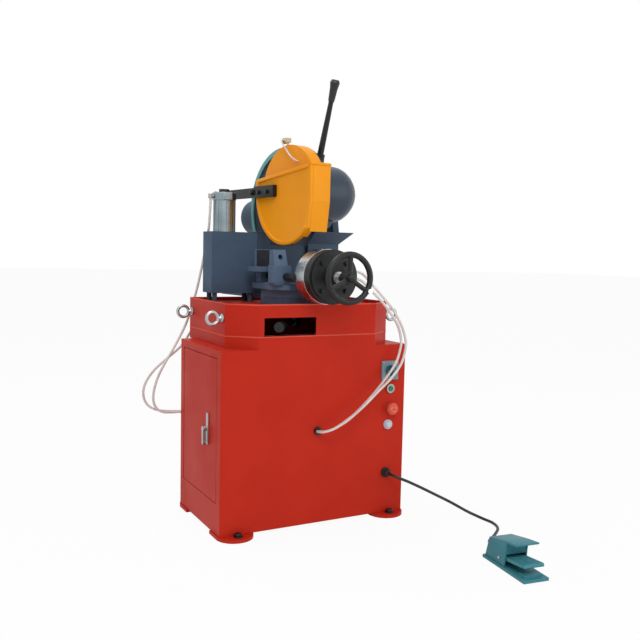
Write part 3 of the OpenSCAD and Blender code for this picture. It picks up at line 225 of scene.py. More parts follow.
def ranged(tree, value, low, high, from_low=0.3, from_high=0.7):
    """A value socket brought into a new range."""
    node = tree.nodes.new("ShaderNodeMapRange")
    node.inputs["From Min"].default_value = from_low
    node.inputs["From Max"].default_value = from_high
    node.inputs["To Min"].default_value = low
    node.inputs["To Max"].default_value = high
    tree.links.new(value, node.inputs["Value"])
    return node.outputs["Result"]


def multiplied(tree, first, second):
    """The product of two value sockets."""
    node = add_node(tree, "ShaderNodeMath", operation="MULTIPLY")
    tree.links.new(first, node.inputs[0])
    tree.links.new(second, node.inputs[1])
    return node.outputs["Value"]


def soft_edges(tree, radius):
    """The normal of edges rounded over by a small radius."""
    node = tree.nodes.new("ShaderNodeBevel")
    node.samples = EDGE_SAMPLES
    node.inputs["Radius"].default_value = radius
    return node.outputs["Normal"]


def make_mottle():
    """Group: patchy change of tone over hand-sized areas, with fine specks on top."""
    group, start, end = new_group(
        "mottle", [("Patch Scale", 6.0), ("Speck Scale", 300.0)], ["Patch", "Speck"])
    link = group.links.new
    place = group.nodes.new("ShaderNodeTexCoord")
    patch = add_node(group, "ShaderNodeTexNoise", detail=4.0, roughness=0.6)
    speck = add_node(group, "ShaderNodeTexNoise", detail=2.0, roughness=0.5)
    for noise, label in ((patch, "Patch"), (speck, "Speck")):
        link(place.outputs["Object"], noise.inputs["Vector"])
        link(start.outputs[label + " Scale"], noise.inputs["Scale"])
        link(noise.outputs["Fac"], end.inputs[label])
    return group


def make_worn_edges():
    """Group: a mask that is high along outer edges and broken up by noise."""
    group, start, end = new_group("worn_edges", [("Break Scale", 60.0), ("Amount", 0.5)], ["Mask"])
    link = group.links.new
    place = group.nodes.new("ShaderNodeTexCoord")
    surface = group.nodes.new("ShaderNodeNewGeometry")
    align = add_node(group, "ShaderNodeVectorMath", operation="DOT_PRODUCT")
    link(soft_edges(group, WORN_EDGE_R), align.inputs[0])
    link(surface.outputs["Normal"], align.inputs[1])
    edge = ranged(group, align.outputs["Value"], 0.0, 1.0, from_low=0.98, from_high=0.82)
    noise = add_node(group, "ShaderNodeTexNoise", detail=5.0, roughness=0.65)
    link(place.outputs["Object"], noise.inputs["Vector"])
    link(start.outputs["Break Scale"], noise.inputs["Scale"])
    cut = ranged(group, noise.outputs["Fac"], 0.0, 1.0, from_low=0.52, from_high=0.62)
    broken = multiplied(group, edge, cut)
    link(multiplied(group, broken, start.outputs["Amount"]), end.inputs["Mask"])
    return group


MOTTLE = make_mottle()
WORN_EDGES = make_worn_edges()


def blank_material(name):
    """A new material with its Principled shader."""
    material = bpy.data.materials.new(name)
    material.use_nodes = True
    return material, material.node_tree, material.node_tree.nodes["Principled BSDF"]


def mix_colours(tree, factor, first, second):
    """A colour mix whose inputs are sockets or plain colours."""
    node = tree.nodes.new("ShaderNodeMix")
    node.data_type = "RGBA"
    tree.links.new(factor, node.inputs["Factor"])
    for socket, value in ((node.inputs[6], first), (node.inputs[7], second)):
        if isinstance(value, tuple):
            socket.default_value = value
        else:
            tree.links.new(value, socket)
    return node.outputs[2]


def bumped(tree, shader, height, strength, distance, edge_radius):
    """A bump from a height socket, over rounded edges, into the shader's normal."""
    bump = tree.nodes.new("ShaderNodeBump")
    bump.inputs["Strength"].default_value = strength
    bump.inputs["Distance"].default_value = distance
    tree.links.new(height, bump.inputs["Height"])
    tree.links.new(soft_edges(tree, edge_radius), bump.inputs["Normal"])
    tree.links.new(bump.outputs["Normal"], shader.inputs["Normal"])


def painted(name, colour, dark, worn, gloss, grain=420.0, depth=0.0002, wear=0.5, edge=0.0015, shine=0.3):
    """Sprayed paint on metal: patchy tone, fine orange peel, worn edges."""
    material, tree, shader = blank_material(name)
    mottle = use_group(tree, MOTTLE, patch_scale=5.0, speck_scale=grain)
    wear_mask = use_group(tree, WORN_EDGES, break_scale=70.0, amount=wear)
    patch = ranged(tree, mottle.outputs["Patch"], 0.0, 1.0)
    tone = mix_colours(tree, patch, colour, dark)
    tree.links.new(mix_colours(tree, wear_mask.outputs["Mask"], tone, worn), shader.inputs["Base Color"])
    roughness = ranged(tree, mottle.outputs["Patch"], gloss - 0.05, gloss + 0.09)
    tree.links.new(roughness, shader.inputs["Roughness"])
    shader.inputs["Specular IOR Level"].default_value = shine
    bumped(tree, shader, mottle.outputs["Speck"], strength=0.35, distance=depth, edge_radius=edge)
    return material


def bare_metal(name, colour, dark, rough, stretch=(1.0, 1.0, 1.0), grain=220.0, edge=0.0008):
    """Machined metal: fine tool marks, drawn out by stretch, and a patchy tone."""
    material, tree, shader = blank_material(name)
    place = tree.nodes.new("ShaderNodeTexCoord")
    mapping = tree.nodes.new("ShaderNodeMapping")
    mapping.inputs["Scale"].default_value = stretch
    marks = add_node(tree, "ShaderNodeTexNoise", detail=3.0, roughness=0.6, scale=grain)
    tree.links.new(place.outputs["Object"], mapping.inputs["Vector"])
    tree.links.new(mapping.outputs["Vector"], marks.inputs["Vector"])
    mottle = use_group(tree, MOTTLE, patch_scale=14.0, speck_scale=500.0)
    patch = ranged(tree, mottle.outputs["Patch"], 0.0, 1.0)
    tree.links.new(mix_colours(tree, patch, colour, dark), shader.inputs["Base Color"])
    roughness = ranged(tree, marks.outputs["Fac"], rough - 0.07, rough + 0.09)
    tree.links.new(roughness, shader.inputs["Roughness"])
    shader.inputs["Metallic"].default_value = 1.0
    bumped(tree, shader, marks.outputs["Fac"], strength=0.25, distance=0.00015, edge_radius=edge)
    return material


def moulded(name, colour, dark, rough, grain=700.0, depth=0.00015, edge=0.001):
    """Moulded plastic or rubber: faint texture and patchy sheen."""
    material, tree, shader = blank_material(name)
    mottle = use_group(tree, MOTTLE, patch_scale=18.0, speck_scale=grain)
    patch = ranged(tree, mottle.outputs["Patch"], 0.0, 1.0)
    tree.links.new(mix_colours(tree, patch, colour, dark), shader.inputs["Base Color"])
    roughness = ranged(tree, mottle.outputs["Patch"], rough - 0.06, rough + 0.08)
    tree.links.new(roughness, shader.inputs["Roughness"])
    bumped(tree, shader, mottle.outputs["Speck"], strength=0.3, distance=depth, edge_radius=edge)
    return material


def ground_blade():
    """Blade steel ground in rings round the spindle."""
    material, tree, shader = blank_material("ground_blade")
    place = tree.nodes.new("ShaderNodeTexCoord")
    centre = tree.nodes.new("ShaderNodeMapping")
    centre.vector_type = "TEXTURE"
    centre.inputs["Location"].default_value = BLADE_CENTRE
    centre.inputs["Rotation"].default_value = (0.0, 0.0, TURN_ANGLE)
    tree.links.new(place.outputs["Object"], centre.inputs["Vector"])
    flat = add_node(tree, "ShaderNodeVectorMath", operation="MULTIPLY")
    flat.inputs[1].default_value = (0.0, 1.0, 1.0)
    tree.links.new(centre.outputs["Vector"], flat.inputs[0])
    radius = add_node(tree, "ShaderNodeVectorMath", operation="LENGTH")
    tree.links.new(flat.outputs["Vector"], radius.inputs[0])
    rings = add_node(tree, "ShaderNodeTexNoise", noise_dimensions="1D", detail=4.0, roughness=0.7)
    rings.inputs["Scale"].default_value = BLADE_RING_SCALE
    tree.links.new(radius.outputs["Value"], rings.inputs["W"])
    tree.links.new(
        mix_colours(tree, rings.outputs["Fac"], linear(190, 196, 200), linear(150, 156, 160)),
        shader.inputs["Base Color"])
    tree.links.new(ranged(tree, rings.outputs["Fac"], 0.22, 0.38), shader.inputs["Roughness"])
    shader.inputs["Metallic"].default_value = 1.0
    bumped(tree, shader, rings.outputs["Fac"], strength=0.2, distance=0.0001, edge_radius=0.0004)
    return material


def cloudy_hose():
    """Cloudy off-white hose."""
    material, tree, shader = blank_material("cloudy_hose")
    mottle = use_group(tree, MOTTLE, patch_scale=22.0, speck_scale=500.0)
    patch = ranged(tree, mottle.outputs["Patch"], 0.0, 1.0)
    tree.links.new(
        mix_colours(tree, patch, linear(226, 219, 216), linear(206, 194, 190)), shader.inputs["Base Color"])
    tree.links.new(ranged(tree, mottle.outputs["Speck"], 0.28, 0.4), shader.inputs["Roughness"])
    shader.inputs["Subsurface Weight"].default_value = 0.25
    shader.inputs["Subsurface Radius"].default_value = (0.004, 0.003, 0.003)
    bumped(tree, shader, mottle.outputs["Speck"], strength=0.1, distance=0.00003, edge_radius=0.0006)
    return material


finishes = {
    "red_paint": painted(
        "red_paint", linear(194, 46, 29), linear(185, 42, 26), linear(158, 38, 27), 0.42, shine=0.08),
    "yellow_paint": painted(
        "yellow_paint", linear(248, 160, 10), linear(240, 150, 6), linear(218, 126, 10), 0.34,
        edge=0.003, wear=0.3, shine=0.2),
    "teal_paint": painted(
        "teal_paint", linear(66, 136, 147), linear(54, 120, 132), linear(120, 158, 164), 0.45,
        grain=260.0, depth=0.0006, shine=0.2),
    "blue_grey_casting": painted(
        "blue_grey_casting", linear(74, 93, 114), linear(62, 79, 98), linear(114, 128, 142), 0.42,
        grain=330.0, depth=0.0006, wear=0.8, shine=0.18),
    "dark_casting": painted(
        "dark_casting", linear(36, 46, 56), linear(30, 38, 47), linear(78, 86, 94), 0.42,
        grain=330.0, depth=0.0006),
    "dark_sheet": painted(
        "dark_sheet", linear(76, 97, 119), linear(66, 85, 104), linear(92, 102, 112), 0.5, shine=0.06),
    "black_metal": painted(
        "black_enamel", linear(22, 24, 25), linear(16, 17, 18), linear(70, 70, 70), 0.36,
        grain=380.0, depth=0.0004, shine=0.35),
    "steel": bare_metal("machined_steel", linear(186, 188, 190), linear(156, 158, 160), 0.34),
    "polished_steel": bare_metal(
        "turned_bright_steel", linear(222, 224, 226), linear(196, 198, 200), 0.2, stretch=(0.1, 8.0, 0.1)),
    "aluminium": bare_metal(
        "drawn_aluminium", linear(152, 166, 172), linear(126, 140, 146), 0.34, stretch=(4.0, 4.0, 0.05)),
    "blade_steel": ground_blade(),
    "black_plastic": moulded("black_plastic", linear(26, 27, 28), linear(19, 20, 21), 0.42),
    "cream_plastic": moulded("cream_plastic", linear(214, 204, 168), linear(196, 186, 148), 0.42),
    "pale_hose": cloudy_hose(),
    "black_rubber": moulded("black_rubber", linear(24, 25, 26), linear(18, 19, 20), 0.5),
    "panel_plastic": moulded("panel_plastic", linear(126, 150, 158), linear(110, 134, 142), 0.4),
    "green_plastic": moulded("green_plastic", linear(20, 130, 78), linear(14, 112, 64), 0.3),
    "red_plastic": moulded("red_plastic", linear(222, 74, 48), linear(206, 58, 38), 0.3),
    "lamp_glass": moulded("lamp_lens", linear(196, 206, 216), linear(182, 194, 206), 0.22),
}
blued_steel = bare_metal("blued_steel", linear(70, 72, 78), linear(50, 52, 58), 0.4)
knob_plastic = moulded("knob_plastic", linear(28, 92, 108), linear(22, 78, 94), 0.36)
# Vise base and moving jaw: the blue-grey casting paint made lighter, a painted light that lifts them out of
# their shade
lit_vise_casting = painted(
    "lit_vise_casting", linear(92, 113, 138), linear(80, 99, 121), linear(128, 142, 156), 0.42,
    grain=330.0, depth=0.0006, wear=0.8, shine=0.18)
# Gear case: the blue-grey casting paint made darker, a painted shade on the dome, and glossier
shaded_gear_casting = painted(
    "shaded_gear_casting", linear(50, 64, 80), linear(43, 56, 70), linear(104, 118, 132), 0.3,
    grain=330.0, depth=0.0005, wear=0.8, shine=0.34)
# Rim band: the teal paint made lighter, a painted light on the band
lit_band_paint = painted(
    "lit_band_paint", linear(116, 182, 178), linear(100, 164, 162), linear(160, 196, 194), 0.42, shine=0.2)
# Tray beads: a lighter red than the tray's paint, a painted highlight along the tray's rim and seam
painted_highlight_red = painted(
    "painted_highlight_red", linear(222, 92, 74), linear(210, 80, 64), linear(190, 66, 52), 0.42, shine=0.08)
# Solids with a finish of their own; the lighter vise, darker gear case and lighter band paints are painted
# light and shade
own_finish_and_painted_light = {
    "fixed_jaw_plates": blued_steel,
    "gear_case": shaded_gear_casting,
    "moving_jaw": lit_vise_casting,
    "plate_rim_band": lit_band_paint,
    "switch_knob": knob_plastic,
    "vise_base": lit_vise_casting,
}


def dress_nodes():
    """Gives each solid the finish of its slot, or one of its own, some of which hold painted light and shade.
    """
    for node, slot in slot_of.items():
        mesh = nodes[node].data
        mesh.materials.clear()
        mesh.materials.append(own_finish_and_painted_light.get(node, finishes[slot]))


def lay_hoses():
    """Lays the hoses, the coolant tube and the pedal's cable over their solids."""
    coolant_tube = [tuple(HEAD_TURN @ Vector(point)) for point in COOLANT_TUBE]
    hoses = (
        ("feed_hose_long", "base", FEED_HOSE_LONG, HOSE_D, "pale_hose", "stiff"),
        ("feed_hose_short", "base", FEED_HOSE_SHORT, HOSE_D, "pale_hose", "stiff"),
        ("vise_hose_inner", "base", VISE_HOSE_INNER, HOSE_D, "pale_hose", "stiff"),
        ("vise_hose_outer", "base", VISE_HOSE_OUTER, HOSE_D, "pale_hose", "stiff"),
        ("coolant_tube", "head", coolant_tube, COOLANT_D, "pale_hose", "limp"),
        ("pedal_cable", "base", PEDAL_CABLE, CABLE_D, "black_rubber", "medium"),
    )
    for node, body, route, diameter, finish, stiffness in hoses:
        cord, length = lay_cord(node + "_lay", route, diameter, finishes[finish])
        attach(cord, body)
        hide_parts(node)


# Modelling

def leave_edit():
    """Back to object mode, with nothing selected."""
    if bpy.context.object and bpy.context.object.mode != "OBJECT":
        bpy.ops.object.mode_set(mode="OBJECT")
    bpy.ops.object.select_all(action="DESELECT")


def face_outward():
    """Turns all faces of the piece in edit mode outward, and leaves edit mode."""
    bpy.ops.mesh.select_all(action="SELECT")
    bpy.ops.mesh.normals_make_consistent(inside=False)
    leave_edit()


def choose(piece):
    """Makes one piece the only selected one."""
    leave_edit()
    piece.select_set(True)
    bpy.context.view_layer.objects.active = piece


def settle(piece, place):
    """Puts a piece at a place and writes that place into its mesh."""
    choose(piece)
    piece.matrix_world = place
    bpy.ops.object.transform_apply(location=True, rotation=True, scale=True)
    return piece


def aimed(at, axis, spin=0.0):
    """A place whose +Z points along an axis."""
    turn = Vector(axis).to_track_quat("Z", "Y").to_matrix().to_4x4()
    return Matrix.Translation(at) @ turn @ Matrix.Rotation(spin, 4, "Z")


def drawn_up(name, sections, sides=32):
    """A disc drawn up along +Z through sections, each a radius and a height."""
    leave_edit()
    radius, height = sections[0]
    bpy.ops.mesh.primitive_circle_add(
        vertices=sides, radius=radius, fill_type="NGON", location=(0.0, 0.0, height))
    piece = bpy.context.object
    piece.name = name
    bpy.ops.object.transform_apply(location=True, rotation=True, scale=True)
    bpy.ops.object.mode_set(mode="EDIT")
    bpy.ops.mesh.select_all(action="SELECT")
    for next_radius, next_height in sections[1:]:
        bpy.ops.mesh.extrude_region_move(TRANSFORM_OT_translate={"value": (0.0, 0.0, next_height - height)})
        growth = next_radius / radius
        bpy.ops.transform.resize(value=(growth, growth, 1.0))
        radius, height = next_radius, next_height
    face_outward()
    return piece


def block(name, size, at=(0.0, 0.0, 0.0)):
    """A box of a size round a middle point."""
    leave_edit()
    bpy.ops.mesh.primitive_cube_add(size=1.0, location=at)
    piece = bpy.context.object
    piece.name = name
    piece.scale = size
    bpy.ops.object.transform_apply(location=True, rotation=True, scale=True)
    return piece


def profiled(name, outline, left, right):
    """A flat outline in Y and Z, drawn out along X from left to right."""
    leave_edit()
    bpy.ops.mesh.primitive_circle_add(vertices=len(outline), fill_type="NGON")
    piece = bpy.context.object
    piece.name = name
    for corner, (y, z) in zip(piece.data.vertices, outline):
        corner.co = (left, y, z)
    bpy.ops.object.mode_set(mode="EDIT")
    bpy.ops.mesh.select_all(action="SELECT")
    bpy.ops.mesh.extrude_region_move(TRANSFORM_OT_translate={"value": (right - left, 0.0, 0.0)})
    face_outward()
    return piece


def select_faces(piece, wanted):
    """Enters edit mode with only the faces selected that a test wants."""
    choose(piece)
    bpy.ops.object.mode_set(mode="EDIT")
    bpy.ops.mesh.select_mode(type="FACE")
    bpy.ops.mesh.select_all(action="DESELECT")
    leave_edit()
    for face in piece.data.polygons:
        face.select = wanted(face)
    choose(piece)
    bpy.ops.object.mode_set(mode="EDIT")


def smoothed(piece, degrees=40):
    """Smooths a piece's shading, apart from edges sharper than an angle."""
    choose(piece)
    bpy.ops.object.shade_smooth_by_angle(angle=math.radians(degrees))
    return piece


def rounded(piece, width, segments=2):
    """Rounds a piece's sharp edges and smooths the rest."""
    choose(piece)
    bevel = piece.modifiers.new("round", "BEVEL")
    bevel.width = width
    bevel.segments = segments
    bevel.limit_method = "ANGLE"
    bevel.angle_limit = math.radians(35)
    bpy.ops.object.modifier_apply(modifier=bevel.name)
    return smoothed(piece)


def fused(piece, others):
    """Joins pieces that overlap into one closed skin."""
    for other in others:
        choose(piece)
        union = piece.modifiers.new("union", "BOOLEAN")
        union.operation = "UNION"
        union.solver = "EXACT"
        union.object = other
        bpy.ops.object.modifier_apply(modifier=union.name)
        bpy.data.objects.remove(other)
    return piece


def joined(pieces):
    """Joins separate pieces into one object."""
    leave_edit()
    for piece in pieces:
        piece.select_set(True)
    bpy.context.view_layer.objects.active = pieces[0]
    bpy.ops.object.join()
    return pieces[0]


def repeated(piece, places):
    """Copies a piece to each place, each copy with its own mesh, as one object."""
    copies = []
    for place in places:
        copy = piece.copy()
        copy.data = piece.data.copy()
        bpy.context.scene.collection.objects.link(copy)
        copies.append(settle(copy, place))
    bpy.data.objects.remove(piece)
    return joined(copies)


def hand_in(piece, name, body, slot, replaced=()):
    """Names a finished piece and gives it its finish, its body and the solids it stands for."""
    piece.name = name
    piece.data.materials.clear()
    piece.data.materials.append(finishes[slot])
    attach(piece, body)
    for node in replaced:
        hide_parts(node)
    return piece


def edge_bead(name, corners, radius, closed=True):
    """A round bead along straight runs between corners, as a mesh."""
    bead = round_line(name, corners, radius, BEAD_ROUNDNESS, closed)
    choose(bead)
    bpy.ops.object.convert(target="MESH")
    bpy.ops.object.mode_set(mode="EDIT")
    face_outward()
    return smoothed(bead, degrees=50)


# Bolts and screws: shares of the head's radius and height
HEX_TOP_R, HEX_SIDE_H = 0.9, 0.82
SCREW_TOP_R, SCREW_SIDE_H = 0.9, 0.88
SOCKET_R, SOCKET_FLOOR_R, SOCKET_FLOOR_H = 0.55, 0.5, 0.4


def hex_bolt(name, across, head, washer_r, washer_t):
    """A hexagon head on its washer, standing on z = 0."""
    washer = drawn_up(name + "_washer", [(washer_r, 0.0), (washer_r, washer_t)], sides=28)
    rounded(washer, washer_t * 0.25, segments=1)
    corner = across / math.sqrt(3)
    hexagon = drawn_up(name, [
        (corner, washer_t), (corner, washer_t + head * HEX_SIDE_H), (corner * HEX_TOP_R, washer_t + head),
    ], sides=6)
    return joined([rounded(hexagon, across * 0.03), washer])


def cap_screw(name, head_r, head_h):
    """A round screw head with a round socket, standing on z = 0."""
    head = drawn_up(name, [
        (head_r, 0.0), (head_r, head_h * SCREW_SIDE_H), (head_r * SCREW_TOP_R, head_h),
        (head_r * SOCKET_R, head_h), (head_r * SOCKET_FLOOR_R, head_h * SOCKET_FLOOR_H),
    ], sides=18)
    return smoothed(head, degrees=35)


# Floor and tray
FOOT_BOLT_X, FOOT_BOLT_Y, FOOT_TOP = 0.258, 0.189, 0.010
EYE_X, EYE_FRONT_Y, EYE_BACK_Y, EYE_Z = 0.306, -0.094, 0.171, 0.632
EYE_RING_R, EYE_BAR_R = 0.0175, 0.0050
EYE_SHANK_R, EYE_SHANK_IN = 0.0062, 0.001
EYE_COLLAR = [(0.0122, 0.0), (0.0122, 0.0034), (0.0108, 0.0048), (0.0074, 0.0062), (EYE_SHANK_R, 0.0085)]
TRAY_X, TRAY_FRONT, TRAY_BACK, TRAY_CUT_X, TRAY_CUT_Y = 0.275, -0.175, 0.195, 0.195, -0.112
TRAY_TOP, TRAY_SEAM = 0.676, 0.581
CABINET_BACK, CABINET_TOP, LIP_T = 0.175, 0.545, 0.0025
# Each bead on the tray: its name, height, radius, and how far its middle lies out of the tray's sides
TRAY_BEADS = (
    ("tray_rim", TRAY_TOP - 0.0026, 0.0024, -0.0012),
    ("tray_seam", TRAY_SEAM - 0.0004, 0.0022, -0.0006),
)


def model_foot_bolts():
    """Anchor bolts with washers in the four foot plates."""
    bolt = hex_bolt("foot_bolt", across=0.019, head=0.008, washer_r=0.014, washer_t=0.0025)
    places = [
        Matrix.Translation((x, y, FOOT_TOP))
        for x in (-FOOT_BOLT_X, FOOT_BOLT_X) for y in (-FOOT_BOLT_Y, FOOT_BOLT_Y)]
    hand_in(repeated(bolt, places), "foot_bolts", "base", "black_metal")


def model_lifting_rings():
    """Forged eye bolts: a round ring on a collared shank, at both ends of the tray."""
    leave_edit()
    bpy.ops.mesh.primitive_torus_add(
        major_radius=EYE_RING_R, minor_radius=EYE_BAR_R, major_segments=44, minor_segments=16,
        rotation=(math.pi / 2, 0.0, 0.0))
    ring = bpy.context.object
    bpy.ops.object.transform_apply(location=True, rotation=True, scale=True)
    reach = EYE_X - TRAY_X
    shank_end = (EYE_SHANK_R, reach - EYE_RING_R + EYE_SHANK_IN)
    shank = drawn_up("eye_shank", EYE_COLLAR + [shank_end], sides=28)
    settle(shank, aimed((-reach, 0.0, 0.0), RIGHT))
    eye = rounded(fused(ring, [shank]), width=0.0008)
    places = []
    for side in (1.0, -1.0):
        for y in (EYE_FRONT_Y, EYE_BACK_Y):
            facing = Matrix.Rotation(0.0 if side > 0 else math.pi, 4, "Z")
            places.append(Matrix.Translation((side * EYE_X, y, EYE_Z)) @ facing)
    hand_in(repeated(eye, places), "lifting_rings", "base", slot_of["lifting_eyes"], ["lifting_eyes"])


def model_tray_lip():
    """Strip that closes the tray from below, where it stands out over the cabinet's back."""
    depth = TRAY_BACK - CABINET_BACK - LIP_T
    strip = block(
        "tray_lip", (2 * (TRAY_X - LIP_T), depth, LIP_T),
        (0.0, CABINET_BACK + depth / 2, CABINET_TOP + LIP_T / 2))
    hand_in(rounded(strip, width=0.0004, segments=1), "tray_lip", "base", "red_paint")


def model_tray_beads():
    """The folded upper edge of the tray, and the seam low on its sides, both in a lighter red that is a
    painted highlight.
    """
    for name, z, radius, out in TRAY_BEADS:
        right, front, back = TRAY_X + out, TRAY_FRONT - out, TRAY_BACK + out
        corners = [
            (-right, back, z), (-right, TRAY_CUT_Y - out, z), (-TRAY_CUT_X, front, z),
            (TRAY_CUT_X, front, z), (right, TRAY_CUT_Y - out, z), (right, back, z),
        ]
        bead = hand_in(edge_bead(name, corners, radius), name, "base", "red_paint")
        # The lighter red paints a highlight along each bead
        bead.data.materials[0] = painted_highlight_red


# Door
LOCK_SIZE, LOCK_AT = (0.0046, 0.0150, 0.0930), (-0.3122, -0.076, 0.307)


def model_lock_plate():
    """Bright cover on the door's lock, behind its lever."""
    hand_in(rounded(block("lock_plate", LOCK_SIZE, LOCK_AT), width=0.0012), "lock_plate", "door", "steel")


# Head and guard
WALL_Y, WALL_TOP, WALL_LEFT, WALL_RIGHT = -0.159, 1.086, -0.058, 0.015
WALL_LOW_Y, WALL_LOW_Z = -0.1458, 0.888
GUARD_Y, GUARD_Z, GUARD_R = -0.028, 1.009, 0.162
GUARD_REAR_TOP, GUARD_SHEET, GUARD_LIP, GUARD_RIM_W, GUARD_RIM_T = 1.055, 0.002, 0.010, 0.011, 0.005
GUARD_ARC_STEPS = 40
# A face looks to a side if its normal goes more than this much of the way
FACING = 0.9
FOLD_Z, FOLD_LOW_Y, FOLD_LOW_Z = 0.978, -0.1475, 0.8996
RIM_START_Y = -0.146
BEAD_R, BEAD_OVERHANG, BEAD_SET_BACK = 0.0046, 0.001, 0.001
STRIP_RIGHT, STRIP_START_Y, STRIP_END_Y, STRIP_T = -0.034, -0.1475, -0.112, 0.002
BAR_BOLT_AT, BAR_BOLT_SPIN = (-0.073, 0.142, 1.0145), 0.4
HEAD_STOP_SIZE, HEAD_STOP_AT = (0.098, 0.006, 0.062), (0.063, 0.1766, 0.865)
MOTOR_X, MOTOR_Z, MOTOR_END_Y = 0.084, 0.945, 0.394
GRILLE_RINGS, GRILLE_WIRE_R, GRILLE_OUT = (0.010, 0.018, 0.026, 0.034), 0.0014, 0.0012
GRILLE_SPOKES, GRILLE_SPOKE_SIZE = 4, (0.070, 0.0026, 0.0020)
OPENING_R, OPENING_T, OPENING_IN = 0.0335, 0.0006, 0.0001


def raise_border(piece, side, width, rise, from_y):
    """Insets a plate's face to one side, and raises the part of the border that lies behind from_y."""
    def outer(face):
        return face.normal.x * side > FACING

    def border(face):
        return outer(face) and len(face.vertices) == 4 and face.center.y > from_y

    select_faces(piece, outer)
    bpy.ops.mesh.inset(thickness=width)
    select_faces(piece, border)
    bpy.ops.mesh.extrude_region_move(TRANSFORM_OT_translate={"value": (side * rise, 0.0, 0.0)})


def model_guard_shell():
    """The guard's face with its raised rim and turned edge, and a front wall folded in at its lower end."""
    start = math.atan2(FOLD_LOW_Z - GUARD_Z, FOLD_LOW_Y - GUARD_Y)
    outline = [(WALL_Y, WALL_TOP), (WALL_Y, FOLD_Z)]
    for step in range(GUARD_ARC_STEPS + 1):
        angle = start * (1 - step / GUARD_ARC_STEPS)
        outline.append((GUARD_Y + GUARD_R * math.cos(angle), GUARD_Z + GUARD_R * math.sin(angle)))
    outline.append((GUARD_Y + GUARD_R, GUARD_REAR_TOP))
    shell = profiled("guard_shell", outline, WALL_LEFT, WALL_LEFT + GUARD_SHEET)
    raise_border(shell, -1.0, GUARD_RIM_W, GUARD_RIM_T, RIM_START_Y)
    raise_border(shell, 1.0, GUARD_SHEET, GUARD_LIP - GUARD_SHEET, WALL_Y)
    rounded(shell, width=0.0008)
    inner_y = WALL_Y + GUARD_SHEET
    wall = profiled("guard_wall", [
        (WALL_Y, WALL_TOP), (WALL_Y, FOLD_Z), (WALL_LOW_Y, WALL_LOW_Z),
        (WALL_LOW_Y + GUARD_SHEET, WALL_LOW_Z), (inner_y, FOLD_Z), (inner_y, WALL_TOP),
    ], WALL_LEFT + GUARD_LIP, WALL_RIGHT)
    choose(wall)
    bpy.ops.object.shade_flat()
    hand_in(settle(joined([shell, wall]), HEAD_TURN), "guard_shell", "guard", slot_of["guard"], ["guard"])


def model_guard_bead():
    """Rolled edge along the top of the guard's front wall."""
    width = WALL_RIGHT - WALL_LEFT + 2 * BEAD_OVERHANG
    bead = rounded(drawn_up("guard_bead", [(BEAD_R, 0.0), (BEAD_R, width)], sides=24), width=0.0015)
    settle(bead, HEAD_TURN @ aimed((WALL_LEFT - BEAD_OVERHANG, WALL_Y + BEAD_SET_BACK, WALL_TOP), RIGHT))
    hand_in(bead, "guard_bead", "guard", "yellow_paint")


def model_guard_strip():
    """Short strip below the guard's front wall, along the round of its face."""
    leave_edit()
    bpy.ops.mesh.primitive_cylinder_add(
        vertices=180, radius=GUARD_R, depth=STRIP_RIGHT - WALL_LEFT, end_fill_type="NOTHING",
        location=((STRIP_RIGHT + WALL_LEFT) / 2, GUARD_Y, GUARD_Z), rotation=(0.0, math.pi / 2, 0.0))
    strip = bpy.context.object
    bpy.ops.object.transform_apply(location=True, rotation=True, scale=True)

    def beyond(face):
        return face.center.z > GUARD_Z or not STRIP_START_Y < face.center.y < STRIP_END_Y

    select_faces(strip, beyond)
    bpy.ops.mesh.delete(type="FACE")
    choose(strip)
    wall = strip.modifiers.new("wall", "SOLIDIFY")
    wall.thickness = STRIP_T
    wall.offset = -1.0
    bpy.ops.object.modifier_apply(modifier=wall.name)
    hand_in(settle(rounded(strip, width=0.0006), HEAD_TURN), "guard_strip", "guard", "yellow_paint")


def model_bar_bolt():
    """Bolt through the guard's bar, behind its bracket."""
    bolt = hex_bolt("bar_bolt", across=0.016, head=0.007, washer_r=0.0105, washer_t=0.002)
    settle(bolt, HEAD_TURN @ aimed(BAR_BOLT_AT, LEFT, BAR_BOLT_SPIN))
    hand_in(bolt, "bar_bolt", "guard", "black_metal")


def model_head_stop():
    """Plate under the motor that comes to rest against the column."""
    plate = rounded(block("head_stop", HEAD_STOP_SIZE, HEAD_STOP_AT), width=0.0015)
    hand_in(settle(plate, HEAD_TURN), "head_stop", "head", "blue_grey_casting")


def model_fan_grille():
    """Rings and spokes over the opening of the motor's fan cover, and a black disc behind them as painted
    shade in the opening.
    """
    wires = []
    for radius in GRILLE_RINGS:
        leave_edit()
        bpy.ops.mesh.primitive_torus_add(
            major_radius=radius, minor_radius=GRILLE_WIRE_R, major_segments=48, minor_segments=8)
        wires.append(bpy.context.object)
    for turn in range(GRILLE_SPOKES):
        spoke = rounded(block("fan_spoke", GRILLE_SPOKE_SIZE), width=0.0006, segments=1)
        wires.append(settle(spoke, Matrix.Rotation(turn * math.pi / GRILLE_SPOKES, 4, "Z")))
    place = HEAD_TURN @ aimed((MOTOR_X, MOTOR_END_Y + GRILLE_OUT, MOTOR_Z), BACK)
    hand_in(settle(joined(wires), place), "fan_grille", "head", "blue_grey_casting")
    # Black disc in the opening: painted shade for the dark inside of the fan cover
    opening = drawn_up("fan_opening_shade", [(OPENING_R, 0.0), (OPENING_R, OPENING_T)], sides=40)
    rounded(opening, width=0.0002, segments=1)
    place = HEAD_TURN @ aimed((MOTOR_X, MOTOR_END_Y - OPENING_IN, MOTOR_Z), BACK)
    hand_in(settle(opening, place), "fan_opening_shade", "head", "black_metal")


# Vise
WHEEL_Y, WHEEL_Z = -0.345, 0.7568
WHEEL_WASHER_R, WHEEL_WASHER_T = 0.0155, 0.0022
WHEEL_NUT_CORNER, WHEEL_NUT_OUT, WHEEL_NUT_SPIN = 0.0128, 0.006, 0.3
